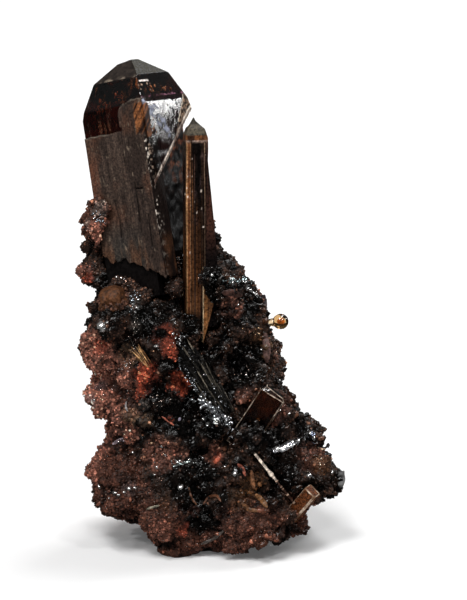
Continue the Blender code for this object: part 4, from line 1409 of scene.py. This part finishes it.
# %% Glints
# Place across and up the picture, and size.
GLINTS = (
    (-7.6, 14.85, 0.30), (-7.45, 14.6, 0.26), (-7.2, 15.1, 0.10), (-3.75, 13.4, 0.16), (-2.45, 15.05, 0.10),
    (-2.6, 14.3, 0.13), (-2.4, 14.0, 0.10), (-1.9, 13.65, 0.12), (-7.75, 3.6, 0.17), (-6.65, 3.15, 0.12),
    (-6.4, 3.0, 0.13), (-6.0, 3.2, 0.12), (-5.65, 3.45, 0.15), (-5.25, 3.5, 0.14), (-7.05, 2.8, 0.08),
    (-2.05, 3.55, 0.20), (-3.7, 4.95, 0.12), (-3.9, 4.4, 0.10), (-5.4, 6.0, 0.10), (-3.35, 6.4, 0.13),
    (-3.1, 5.8, 0.10), (-6.3, 6.75, 0.17), (-6.0, 6.85, 0.12), (-2.3, 5.3, 0.12), (-2.1, 5.4, 0.12),
    (-1.4, 5.5, 0.08), (6.95, 4.35, 0.20), (8.55, 4.6, 0.14), (-0.5, 5.6, 0.10), (1.75, 4.5, 0.20),
    (1.05, 5.0, 0.10), (0.9, 18.15, 0.12), (1.25, 18.0, 0.13), (1.4, 18.15, 0.12), (1.55, 17.85, 0.14),
    (1.75, 18.05, 0.12), (2.0, 17.9, 0.12), (2.3, 17.95, 0.10), (2.5, 17.9, 0.12), (0.15, 18.4, 0.12),
    (2.65, 17.45, 0.14), (2.85, 17.3, 0.12), (3.05, 17.15, 0.12), (3.2, 16.95, 0.10), (1.95, 16.35, 0.11),
    (3.05, 14.55, 0.13), (1.8, 13.35, 0.10), (3.6, 13.2, 0.10), (3.3, 11.4, 0.10), (2.55, 11.4, 0.09),
    (4.75, 11.0, 0.17), (-8.1, 9.65, 0.11), (-6.2, 18.2, 0.08), (-5.6, 18.35, 0.08), (-4.1, 18.15, 0.09),
    (-5.4, 16.4, 0.13), (-5.1, 16.1, 0.14), (-5.25, 15.8, 0.12), (-5.0, 16.7, 0.10), (-8.2, 16.6, 0.09),
    (3.4, 8.35, 0.17), (3.45, 8.0, 0.12), (1.1, 8.25, 0.13), (5.55, 8.7, 0.10), (4.9, 8.9, 0.10),
    (4.7, 6.2, 0.26), (5.2, 6.3, 0.30), (5.65, 6.6, 0.32), (6.05, 6.75, 0.24), (7.3, 7.0, 0.14),
    (7.0, 7.3, 0.12), (7.45, 6.7, 0.12), (-0.2, 9.0, 0.16), (0.1, 8.7, 0.14), (-0.4, 8.3, 0.16),
    (-0.1, 8.0, 0.13), (0.35, 9.2, 0.12), (0.75, 8.8, 0.12), (0.95, 8.4, 0.12), (0.6, 9.1, 0.1),
)
# Swarms of smaller ones: middle and half widths across and up the picture, how many, size and colour.
SWARMS = (
    ((1.75, 18.05), (0.95, 0.20), 110, 0.11, (0.72, 0.90, 0.95)),
    ((3.3, 16.9), (0.25, 0.35), 14, 0.07, (0.85, 0.80, 0.78)),
    ((-5.35, 16.4), (0.35, 0.60), 50, 0.09, (0.75, 0.85, 0.95)),
    ((-5.2, 14.6), (0.22, 1.10), 26, 0.07, (0.60, 0.55, 0.50)),
    ((-1.9, 13.6), (0.45, 0.60), 40, 0.09, (0.80, 0.82, 0.85)),
    ((0.25, 8.75), (0.45, 0.65), 190, 0.14, (0.90, 0.96, 1.00)),
    ((0.95, 8.35), (0.35, 0.35), 50, 0.13, (1.00, 1.00, 1.00)),
    ((7.2, 7.1), (0.25, 0.40), 18, 0.09, (0.50, 0.58, 0.80)),
    ((7.6, 5.4), (0.50, 0.80), 10, 0.06, (0.90, 0.75, 0.60)),
    ((3.2, 14.2), (0.60, 0.50), 20, 0.07, (0.95, 0.65, 0.40)),
    ((-6.0, 11.2), (1.00, 1.00), 46, 0.08, (0.90, 0.70, 0.66)),
    ((-5.9, 12.2), (0.50, 0.30), 20, 0.09, (0.95, 0.80, 0.76)),
    ((-3.9, 9.6), (0.80, 0.60), 20, 0.07, (0.85, 0.70, 0.62)),
    ((-1.5, 5.2), (1.40, 0.25), 24, 0.07, (0.80, 0.85, 0.85)),
    ((-7.8, 22.3), (0.40, 0.60), 26, 0.09, (0.70, 0.80, 0.90)),
    ((-4.0, 23.3), (0.25, 1.30), 20, 0.07, (0.95, 0.90, 0.85)),
    ((2.6, 12.2), (1.50, 1.60), 26, 0.06, (0.60, 0.50, 0.45)),
    ((-5.4, 18.3), (1.10, 0.25), 12, 0.08, (0.85, 0.80, 0.80)),
)
LAMPS = (direction(-30.0, 62.0), direction(-50.0, 38.0), direction(40.0, 52.0), direction(8.0, 42.0))


def glint_tablets(name, places, sizes, spread, shades, material, draw):
    """Tablets whose flat side looks half way between the camera and one of the lamps, give or take."""
    lamp = np.array(LAMPS)[draw.integers(0, len(LAMPS), len(places))]
    facing = unit(np.array(VIEW) + lamp) + draw.normal(0.0, spread, places.shape)
    scales = np.column_stack((sizes, sizes * draw.uniform(0.5, 0.9, len(places)), 0.4 * sizes))
    return many(name, tablet(6), places, three_axes(facing, draw), scales, shades, material)


def on_stone_all(spots):
    """The places of the stone under these places of the picture, and which of them meet it."""
    found = [on_stone(across, up) for across, up in spots]
    hit = np.array([place is not None for place in found])
    return np.array([place for place in found if place is not None]), hit


bpy.context.view_layer.update()
bright = skin_finish("clean small faces", 0.08, 0.12, 0.004, 1.6, 4.0, 0.5, 0.85)
places, hit = on_stone_all([glint[:2] for glint in GLINTS])
sizes = np.array([glint[2] for glint in GLINTS])[hit]
white = np.full(places.shape, 0.92) * draw.uniform(0.8, 1.05, (len(places), 1))
glint_tablets("glints", places + 0.10 * np.array(VIEW), 1.15 * sizes, 0.03, white, bright, draw)

spots, shades, sizes = [], [], []
for middle, widths, count, size, tint in SWARMS:
    spots.append(np.array(middle) + draw.normal(0.0, 0.6, (count, 2)) * widths)
    shades.append(np.array(tint) * draw.uniform(0.5, 1.1, (count, 1)))
    sizes.append(0.035 + size * draw.random(count) ** 2)
places, hit = on_stone_all(np.vstack(spots))
shades = np.clip(np.vstack(shades)[hit], 0.0, 0.95)
sizes = np.concatenate(sizes)[hit]
glint_tablets("swarms", places + 0.07 * np.array(VIEW), sizes, 0.07, shades, bright, draw)

sample = surface_samples(stone.data, 5200, draw)
kept = (sample[0][:, 2] > 0.6) & (draw.random(len(sample[0])) < 0.15 + 0.45 * eased(sample[0][:, 2], 3.5, 6.5))
sample = some(sample, kept)
sizes = 0.03 + 0.06 * draw.random(len(sample[0])) ** 2
own = stone_tint[sample[2]] * 2.2 + 0.04
shades = own * np.exp(draw.normal(0.2, 0.9, (len(sizes), 1)))
glint_tablets("small_glints", sample[0] + 0.07 * sample[1], sizes, 0.20, np.clip(shades, 0.0, 0.9), bright, draw)

# %% [markdown]
# ## Flakes
# A few thin flakes and facets on the stone are large enough to have a shape of their own. Each is a ribbon:
# a line measured on the picture, carried on to the stone, with a width that swells and ends in points.

# %% Flakes
# Name, line across and up the picture, half width, colour, and how much it shines.
FLAKES = (
    ("white_facet", ((4.35, 6.1), (4.9, 6.15), (5.4, 6.5), (6.2, 6.85)), 0.30, (0.88, 0.90, 0.98), True),
    ("pale_curve", ((2.7, 17.45), (2.95, 17.25), (3.2, 17.1), (3.35, 16.85)), 0.08, (0.90, 0.88, 0.86), True),
    ("violet_wall", ((3.55, 17.3), (3.7, 16.5), (3.85, 15.7)), 0.30, (0.055, 0.042, 0.046), False),
    ("pink_wall", ((3.85, 14.4), (3.95, 13.4), (4.0, 12.2)), 0.28, (0.13, 0.070, 0.060), False),
    ("golden_spot", ((3.0, 14.65), (3.15, 14.5)), 0.10, (0.90, 0.62, 0.30), True),
    ("rusty_ledge", ((0.8, 17.15), (1.5, 17.2), (2.4, 16.9)), 0.22, (0.050, 0.020, 0.014), False),
    ("shell_rim", ((7.55, 6.35), (7.9, 6.2), (8.2, 6.25)), 0.07, (0.62, 0.48, 0.33), False),
    ("shell_edge", ((8.2, 6.25), (8.5, 5.6), (8.75, 5.2)), 0.05, (0.12, 0.06, 0.03), False),
    ("grey_flake", ((9.0, 5.1), (9.2, 4.3), (9.15, 3.5)), 0.30, (0.055, 0.055, 0.055), False),
    # A pale dull flake where light glints: a painted glint.
    ("painted_glint_tongue", ((-6.85, 6.55), (-6.5, 6.75), (-6.1, 6.95), (-5.9, 6.75)), 0.13, (0.66, 0.54, 0.62), False),
    ("grey_crescent", ((-5.85, 9.6), (-5.9, 9.2), (-5.75, 8.85)), 0.07, (0.25, 0.23, 0.23), False),
    ("violet_oval", ((-2.2, 8.2), (-2.05, 8.45)), 0.10, (0.22, 0.20, 0.26), False),
    # A pale dull flake where light glints: a painted glint.
    ("painted_glint_oval", ((1.7, 4.45), (1.85, 4.85)), 0.10, (0.42, 0.42, 0.45), False),
    ("pale_leaf", ((-4.5, 2.0), (-3.9, 2.2), (-3.5, 2.3)), 0.09, (0.22, 0.20, 0.15), False),
    ("teal_streak", ((-2.7, 4.95), (-2.0, 5.25), (-1.3, 5.4)), 0.09, (0.55, 0.66, 0.66), True),
    ("low_strip", ((-0.7, -0.45), (0.2, -0.1), (1.0, 0.55)), 0.12, (0.075, 0.060, 0.052), False),
    ("brown_arc", ((-0.5, 2.3), (-0.1, 2.9), (0.5, 3.0), (0.8, 2.5)), 0.09, (0.14, 0.055, 0.026), False),
    ("low_arc", ((-1.5, 3.6), (-1.3, 2.8), (-0.9, 2.3)), 0.08, (0.11, 0.045, 0.022), False),
    ("honey_form", ((2.9, 4.8), (2.95, 4.1), (3.1, 3.4)), 0.17, (0.15, 0.060, 0.022), False),
    ("honey_ridge", ((3.15, 3.1), (3.6, 2.7), (4.05, 2.1)), 0.19, (0.17, 0.075, 0.026), False),
    ("honey_foot", ((2.2, 2.5), (2.7, 2.0), (3.4, 1.9)), 0.15, (0.13, 0.055, 0.020), False),
    ("red_ridge", ((1.9, 5.2), (2.3, 4.9), (2.5, 4.3)), 0.13, (0.22, 0.060, 0.035), False),
    ("red_line", ((-3.4, 8.55), (-2.8, 8.1), (-2.5, 7.9)), 0.07, (0.45, 0.13, 0.08), False),
    ("pale_hair", ((-7.2, 13.7), (-6.6, 14.0)), 0.025, (0.55, 0.50, 0.45), True),
    ("thin_hair", ((-5.7, 14.2), (-5.4, 13.6), (-5.25, 13.0)), 0.022, (0.45, 0.40, 0.36), True),
)


def flake(name, line, half_width, tint, shines):
    """Rhombic rings along a smooth line on the stone, lifted towards the camera. The width grows from zero
    as a half circle does, and clouds fray it."""
    corner = np.linspace(0.0, 1.0, len(line))
    along = np.linspace(0.0, 1.0, 34)
    spots = np.column_stack([np.interp(along, corner, part) for part in np.array(line).T])
    places, hit = on_stone_all(spots)
    along = along[hit]
    kernel = np.ones(7) / 7.0
    padded = np.pad(places, ((3, 3), (0, 0)), mode="edge")
    places = np.column_stack([np.convolve(part, kernel, "valid") for part in padded.T])
    toward = unit(np.array(VIEW) + np.array(LAMPS[0])) if shines else np.array(VIEW)
    places = places + (0.08 + 0.8 * half_width + 0.05 * np.sin(9.0 * along))[:, None] * np.array(VIEW)
    ahead = unit(np.gradient(places, axis=0))
    aside = unit(np.cross(ahead, toward))
    width = half_width * np.sqrt(np.clip(1.0 - (2.0 * along - 1.0) ** 2, 0.02, 1.0))
    width = width * (0.7 + 0.6 * clouds(places * 3.0, 141.0))
    turn = np.linspace(0.0, 2.0 * math.pi, 12, endpoint=False)
    across = np.cos(turn)[None, :, None] * (width[:, None] * aside)[:, None]
    thick = np.sin(turn)[None, :, None] * (0.3 * width[:, None] * toward)[:, None]
    grid = places[:, None] + across + thick
    points, faces = closed_rings(grid + 0.25 * half_width * (clouds(grid * 4.0, 142.0) - 0.5)[..., None] * toward)
    shade = 0.5 + clouds(points * 3.5, 143.0)
    mesh = mesh_of(name, points, faces, tint=np.array(tint) * shade[:, None])
    return link_piece(mesh, bright if shines else dull_flake)


dull_flake = skin_finish("dull flakes", 0.3, 0.25, 0.02, 1.5, 6.0, 0.4)
for line in FLAKES:
    flake(*line)

# %% [markdown]
# ## The silvery sheaf and the needles
# Rutile grows as bundles of thin striated blades with a bright metallic lustre. Each blade is a pointed
# prism, flattened and stretched along the bundle, a little out of line with its neighbours.

# %% Bundles
def bundle(name, node, count, length, strands, sides, spread, thick, width, splay, late, short, tints, rare, material, slot, seed):
    """Blades from the foot to the tip of a node's place, side by side and stacked, in strands with gaps
    between them. They start up to the late share of the length and go on for the short share or more. Their
    colours lie between the two tints, fewer near the second the rarer it is."""
    draw = np.random.default_rng(seed)
    strand = draw.integers(0, strands, count)
    middle = np.linspace(*sides, strands)[strand]
    side = middle + draw.normal(0.0, 0.35, count) * (sides[1] - sides[0]) / strands
    depth = draw.uniform(-0.6, 1.0, count) + draw.normal(0.0, 0.35, strands)[strand]
    start = draw.uniform(-0.05, late, count) * length
    ends = length * draw.uniform(0.8, 1.05, strands)[strand] - start
    long = ends * draw.uniform(short, 1.0, count) * (1.0 - 0.45 * np.abs(side))
    sway, nod = draw.normal(0.0, 0.05, (2, count)) + draw.normal(0.0, 0.05, (2, strands))[:, strand]
    lean = np.column_stack((splay * side + sway, nod, np.ones(count)))
    centres = np.column_stack((side * (spread + splay * 0.5 * long), -depth * thick, start + 0.5 * long))
    along = unit(leaned(lean, node))
    flat = leaned(np.column_stack((np.ones(count), draw.normal(0.0, 0.9, count), np.zeros(count))), node)
    across = unit(flat - np.einsum("ij,ij->i", flat, along)[:, None] * along)
    wide = width * draw.uniform(0.35, 1.0, count)
    sizes = np.column_stack((wide, 0.5 * wide, 0.5 * long))
    shades = np.array(tints[0]) + draw.random((count, 1)) ** rare * (np.array(tints[1]) - np.array(tints[0]))
    axes = (across, np.cross(along, across), along)
    return many(name, pointed_prism(6, 0.85), placed(centres, node), axes, sizes, shades, material)


BLACKS = ((0.006, 0.0055, 0.005), (0.30, 0.26, 0.20))
STRAWS = ((0.22, 0.090, 0.030), (0.75, 0.46, 0.20))
blades = skin_finish("silvery black blades", 0.14, 0.3, 0.01, 1.7, 4.0, 0.4, 0.25)
SHEAF = ("rutile_blades", "rutile_sheaf", 640, 7.3, 9, (-0.12, 0.5), 2.2, 0.42, 0.055, 0.14, 0.55, 0.3, BLACKS, 9.0)
sheaf = bundle(*SHEAF, blades, "silvery_black_blades", 5)
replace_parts(sheaf, "rutile_sheaf")
straw = skin_finish("straw needles", 0.25, 0.2, 0.01, 1.6, 4.0)
STRAW_BUNDLE = ("straw_needles", "tan_needles", 13, 2.3, 4, (-0.4, 0.4), 0.75, 0.2, 0.030, 0.20, 0.2, 0.6, STRAWS, 2.0)
needles = bundle(*STRAW_BUNDLE, straw, "pale_needle", 6)
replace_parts(needles, "tan_needles")


# %% Glints on the sheaf
def sheaf_glints(name, side, along, size, spread, draw):
    """Bright bits on the front of the sheaf at these places across and along it."""
    places = placed(np.column_stack((side, np.full(len(side), -0.50), along)), "rutile_sheaf")
    sizes = 0.03 + size * draw.random(len(side)) ** 2
    shades = np.array((0.80, 0.84, 0.90)) * draw.uniform(0.4, 1.1, (len(side), 1))
    return glint_tablets(name, places, sizes, spread, shades, bright, draw)


along = draw.uniform(-0.3, 7.2, 240)
side = np.where(draw.random(240) < 0.5, draw.normal(-0.20, 0.15, 240), draw.uniform(-0.3, 1.1, 240))
sheaf_glints("sheaf_glints", side, along, 0.08, 0.25, draw)
along = draw.normal(0.5, 0.75, 190)
side = draw.normal(0.25, 0.16, 190) - 0.28 * along - 0.15 * (along - 0.5) ** 2
sheaf_glints("lobe_glints", side, along, 0.15, 0.06, draw)

# %% [markdown]
# ## The small crystals
# The flat blade and the corner prism are plain faceted shapes, so copies of their solids do, with a narrow
# bevel along every edge to catch the light, pale in turns as a painted highlight. The needle is a row of
# square rings. The amber knob and the brown stub are rounded: they are turned shapes, a radius for every
# height, roughened by clouds.

# %% Bevelled copies
def edge_finish(name, dark, pale):
    """Edges dark and pale in turns; the pale turns are a painted highlight."""
    finish = Finish(name)
    where = finish.place()
    shade = finish.noise(where, 2.2, 4.0, 0.6).ramp(0.42, 0.62)
    values = {"Base Color": finish.mix(shade, dark, pale), "Roughness": 0.3, "Specular IOR Level": 0.4}
    return finish.end(finish.node("ShaderNodeBsdfPrincipled", {}, values))


def bevelled(node, name, width, material, edges):
    """A copy of a solid with its edges bevelled this wide, in a finish of their own."""
    piece = link_piece(merged_copy(node, name), material)
    piece.data.materials.append(edges)
    bevel = piece.modifiers.new("edges", "BEVEL")
    bevel.width = width * MM
    bevel.segments = 1
    bevel.limit_method = "ANGLE"
    bevel.material = 1
    applied(piece)
    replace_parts(piece, node)
    return piece


olive = clear_crystal("olive brown crystal", (0.60, 0.36, 0.12), 4600.0, (1.0, 4.0, 3.0), 0.03, 0.08, 0.12)
orange = filmed_crystal("orange crystal", (0.85, 0.36, 0.10), 900.0, 0.3, (8.0, 8.0, 3.0), 0.04)
# The pale turns of these edges are painted highlights.
olive_edges = edge_finish("olive edges with painted highlights", (0.060, 0.030, 0.014), (0.62, 0.50, 0.40))
orange_edges = edge_finish("striated edges with painted highlights", (0.16, 0.09, 0.05), (0.62, 0.48, 0.36))
bevelled("side_blade", "flat_blade", 0.035, olive, olive_edges)
prism = bevelled("corner_prism", "orange_prism", 0.06, orange, orange_edges)
write_field(prism.data, "tint", np.tile((0.105, 0.034, 0.012), (len(prism.data.vertices), 1)))
write_field(prism.data, "film", np.full(len(prism.data.vertices), 0.6))


# %% The needle
def build_needle(material):
    """Square rings along the needle: even and pale above, thin and dark with beads below."""
    along = np.linspace(5.34, -0.1, 150)
    pale = eased(along, 2.2, 2.7)
    bead = eased(np.sin(along * 9.0) + 0.6 * np.sin(along * 23.0), 0.6, 1.2)
    block = np.exp(-(((along - 2.95) / 0.14) ** 4))
    reach = 0.055 + 0.04 * pale + 0.04 * bead * (1.0 - pale) + 0.06 * block
    reach = reach * np.clip((5.36 - along) / 0.12, 0.1, 1.0)
    first, second = square_ring((3, 3, 3, 3))
    height = along[:, None] * np.ones_like(first)
    rough = 1.0 + 0.25 * (clouds(np.stack((height * 6.0, first + 0.0 * height, second + 0.0 * height), -1), 151.0) - 0.5)
    grid = upright(reach[:, None] * first * rough, reach[:, None] * second * rough, height, 10.0)
    points, faces = closed_rings(placed(grid, "long_needle"))
    shade = clouds(np.stack((height * 5.0, 0.0 * height, 0.0 * height), -1), 152.0)
    dark = mixed((0.045, 0.020, 0.013), (0.42, 0.28, 0.20), bead[:, None] * np.ones_like(height))
    tint = mixed(dark, (1.0, 0.86, 0.72), pale[:, None] * (0.6 + 0.4 * eased(shade, 0.3, 0.5)))
    mesh = mesh_of("bright_needle", points, faces, tint=with_ends(tint))
    return link_piece(mesh, material)


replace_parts(build_needle(skin_finish("bright needle", 0.2, 0.2, 0.01, 1.5, 8.0, 0.5)), "long_needle")


# %% Turned knobs
def turned(name, node, profile, lump_size, lump_height, material, tint):
    """Rings of the profile's radius at each of its heights, roughened by clouds."""
    heights, radii = np.array(profile).T
    along = np.linspace(heights[0], heights[-1], 60)
    radius = np.interp(along, heights, radii)[:, None]
    turn = np.linspace(0.0, 2.0 * math.pi, 72, endpoint=False)
    ring = np.stack((np.cos(turn), np.sin(turn), np.zeros(72)), axis=-1)
    grid = radius[..., None] * ring + along[:, None, None] * np.array((0.0, 0.0, 1.0))
    grown = 1.0 + lump_height * (clouds(grid * lump_size, 121.0) - 0.5)
    grid = grid * np.stack((grown, grown, np.ones_like(grown)), axis=-1)
    points, faces = closed_rings(placed(grid, node))
    tints = np.array(tint) * (0.4 + 1.2 * clouds(points * 2.0, 122.0))[:, None]
    piece = link_piece(mesh_of(name, points, faces, tint=tints), material)
    piece.data.shade_smooth()
    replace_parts(piece, node)
    return piece


def knob_profile():
    """A stem that widens into a ball."""
    stem = [(-0.9, 0.02), (-0.85, 0.24), (-0.2, 0.24), (0.25, 0.27)]
    arc = np.radians(np.linspace(-58.0, 90.0, 16))
    return stem + [(0.96 + 0.56 * math.sin(angle), max(0.56 * math.cos(angle), 0.01)) for angle in arc]


def heart_profile():
    """A flattened ball at the middle of the knob."""
    arc = np.radians(np.linspace(-88.0, 88.0, 16))
    return [(0.98 + 0.15 * math.sin(angle), 0.11 * math.cos(angle)) for angle in arc]


def stub_profile():
    """A stub with round shoulders and a blunt dome."""
    arc = np.radians(np.linspace(0.0, 90.0, 16))
    dome = [(0.75 + 0.90 * math.sin(angle), max(0.98 * math.cos(angle) ** 0.8, 0.01)) for angle in arc]
    return [(-0.8, 0.02), (-0.75, 0.8), (0.0, 0.98), *dome]


amber = clear_crystal("clear amber", (0.84, 0.66, 0.34), 2300.0, (3.0, 3.0, 3.0), 0.01)
waxy = skin_finish("waxy brown stub", 0.35, 0.25, 0.06, 1.45, 4.5, 0.25)
# An orange disc in the middle of the knob stands for light shining through it: a painted glow.
heart = skin_finish("painted glow inside the amber", 0.4, 0.2, 0.02)
turned("amber_knob", "amber_nub", knob_profile(), 1.6, 0.12, amber, (0.6, 0.3, 0.1))
# The orange disc inside the knob: a painted glow.
turned("amber_painted_glow", "amber_nub", heart_profile(), 2.5, 0.5, heart, (0.75, 0.26, 0.06))
turned("smooth_stub", "brown_stub", stub_profile(), 2.0, 0.6, waxy, (0.075, 0.029, 0.011))


# %% Crust that has crept up the stub
def stub_collar(count, draw):
    """Grains on the lower part of the stub, fewer the higher they are."""
    height = -0.3 + 1.3 * draw.random(count) ** 1.5
    turn = draw.uniform(0.0, 2.0 * math.pi, count)
    reach = 0.98 * np.clip(1.0 - (height - 0.75) ** 2 * (height > 0.75), 0.1, 1.0) + draw.normal(0.0, 0.05, count)
    ring = np.column_stack((reach * np.cos(turn), reach * np.sin(turn), height))
    outward = leaned(ring * (1.0, 1.0, 0.0), "brown_stub") + draw.normal(0.0, 0.5, (count, 3))
    sizes = 0.06 + 0.09 * draw.random(count) ** 2
    scales = np.column_stack((sizes, sizes, 1.4 * sizes))
    tints = np.array((0.13, 0.06, 0.04)) * np.exp(draw.normal(-0.4, 0.8, (count, 1)))
    places = placed(ring, "brown_stub")
    return many("stub_collar", double_point(4), places, three_axes(outward, draw), scales, tints, sugar)


stub_collar(800, draw)

# %% [markdown]
# ## Floor and light
# A white floor, a soft light above, a soft box at the right that the bright plate mirrors, and a few small
# lamps that make the grains sparkle. The sky is dark near the horizon, and nothing mirrors the floor, which
# keeps the faces black. The soft box is put where the plate sends the line of sight, and starts at the
# height where the plate turns from black to white.

# %% Stage
FLOOR_WHITE = 0.86
FLOOR_GLOW = 0.1


def add_area(name, place, toward, size, power, tint=(1.0, 1.0, 1.0)):
    """A square soft light at a place in millimetres, shining along minus the direction."""
    data = bpy.data.lights.new(name, "AREA")
    data.size = size * MM
    data.energy = power
    data.color = tint
    lamp = bpy.data.objects.new(name, data)
    lamp.location = place * MM
    lamp.rotation_euler = toward.to_track_quat("Z", "Y").to_euler()
    lamp.visible_camera = False
    bpy.context.scene.collection.objects.link(lamp)
    return lamp


def add_lamp(name, azimuth, elevation, distance, size, power):
    """A soft light in that direction, aimed at the specimen's middle."""
    toward = direction(azimuth, elevation)
    return add_area(name, Vector(LOOK_AT) + toward * distance, toward, size, power)


def add_plate_light(distance, size, power):
    """A soft box that fills what the plate mirrors above one of its points."""
    normal = Vector(leaned(upright(np.array(1.0), np.array(0.0), np.array(0.0), MAIN_AZIMUTH), "main_crystal"))
    point = Vector(placed(upright(np.array(MAIN_SIDE), np.array(-0.4), np.array(0.75), MAIN_AZIMUTH), "main_crystal"))
    sight = (EYE - point).normalized()
    toward = 2.0 * normal.dot(sight) * normal - sight
    upward = Vector((0.0, 0.0, 1.0))
    return add_area("plate light", point + toward * distance + upward * (0.5 * size), toward, size, power)


def add_floor():
    """A wide level disc under the specimen, glowing a little so that it stays white far away."""
    bm = bmesh.new()
    bmesh.ops.create_circle(bm, cap_ends=True, segments=96, radius=3.0)
    mesh = bpy.data.meshes.new("floor")
    bm.to_mesh(mesh)
    bm.free()
    finish = Finish("white floor")
    white = colour((FLOOR_WHITE, FLOOR_WHITE, FLOOR_WHITE))
    values = {"Base Color": white, "Roughness": 0.9, "Emission Color": white, "Emission Strength": FLOOR_GLOW}
    mesh.materials.append(finish.end(finish.node("ShaderNodeBsdfPrincipled", {}, values)))
    floor = bpy.data.objects.new("floor", mesh)
    floor.visible_glossy = False
    bpy.context.scene.collection.objects.link(floor)
    return floor


def add_world(low, high):
    """A sky that brightens with the height of the direction, and is plain white where it is looked at."""
    world = bpy.data.worlds.new("studio")
    world.use_nodes = True
    tree = world.node_tree
    tree.nodes.clear()
    coordinates = tree.nodes.new("ShaderNodeTexCoord")
    split = tree.nodes.new("ShaderNodeSeparateXYZ")
    rise = tree.nodes.new("ShaderNodeMapRange")
    rise.inputs["From Min"].default_value = 0.05
    rise.inputs["From Max"].default_value = 1.0
    rise.inputs["To Min"].default_value = low
    rise.inputs["To Max"].default_value = high
    path = tree.nodes.new("ShaderNodeLightPath")
    choose = tree.nodes.new("ShaderNodeMix")
    sky = tree.nodes.new("ShaderNodeBackground")
    out = tree.nodes.new("ShaderNodeOutputWorld")
    tree.links.new(coordinates.outputs["Generated"], split.inputs[0])
    tree.links.new(split.outputs["Z"], rise.inputs["Value"])
    tree.links.new(path.outputs["Is Camera Ray"], choose.inputs[0])
    tree.links.new(rise.outputs[0], choose.inputs[2])
    choose.inputs[3].default_value = 1.0
    tree.links.new(choose.outputs[0], sky.inputs["Strength"])
    tree.links.new(sky.outputs[0], out.inputs["Surface"])
    bpy.context.scene.world = world


add_floor()
add_world(0.03, 0.25)
add_lamp("top light", -30.0, 62.0, 3000.0, 1000.0, 52.0)
add_lamp("rear light", 140.0, 66.0, 3000.0, 1000.0, 36.0)
add_lamp("back panel", 159.0, 30.0, 260.0, 80.0, 0.02)
add_plate_light(70.0, 14.0, 0.0068)
add_lamp("spark left", -50.0, 38.0, 1000.0, 80.0, 1.8)
add_lamp("spark right", 40.0, 52.0, 1000.0, 80.0, 1.3)
add_lamp("spark front", 8.0, 42.0, 1000.0, 70.0, 1.1)
bpy.context.scene.view_settings.view_transform = "Standard"
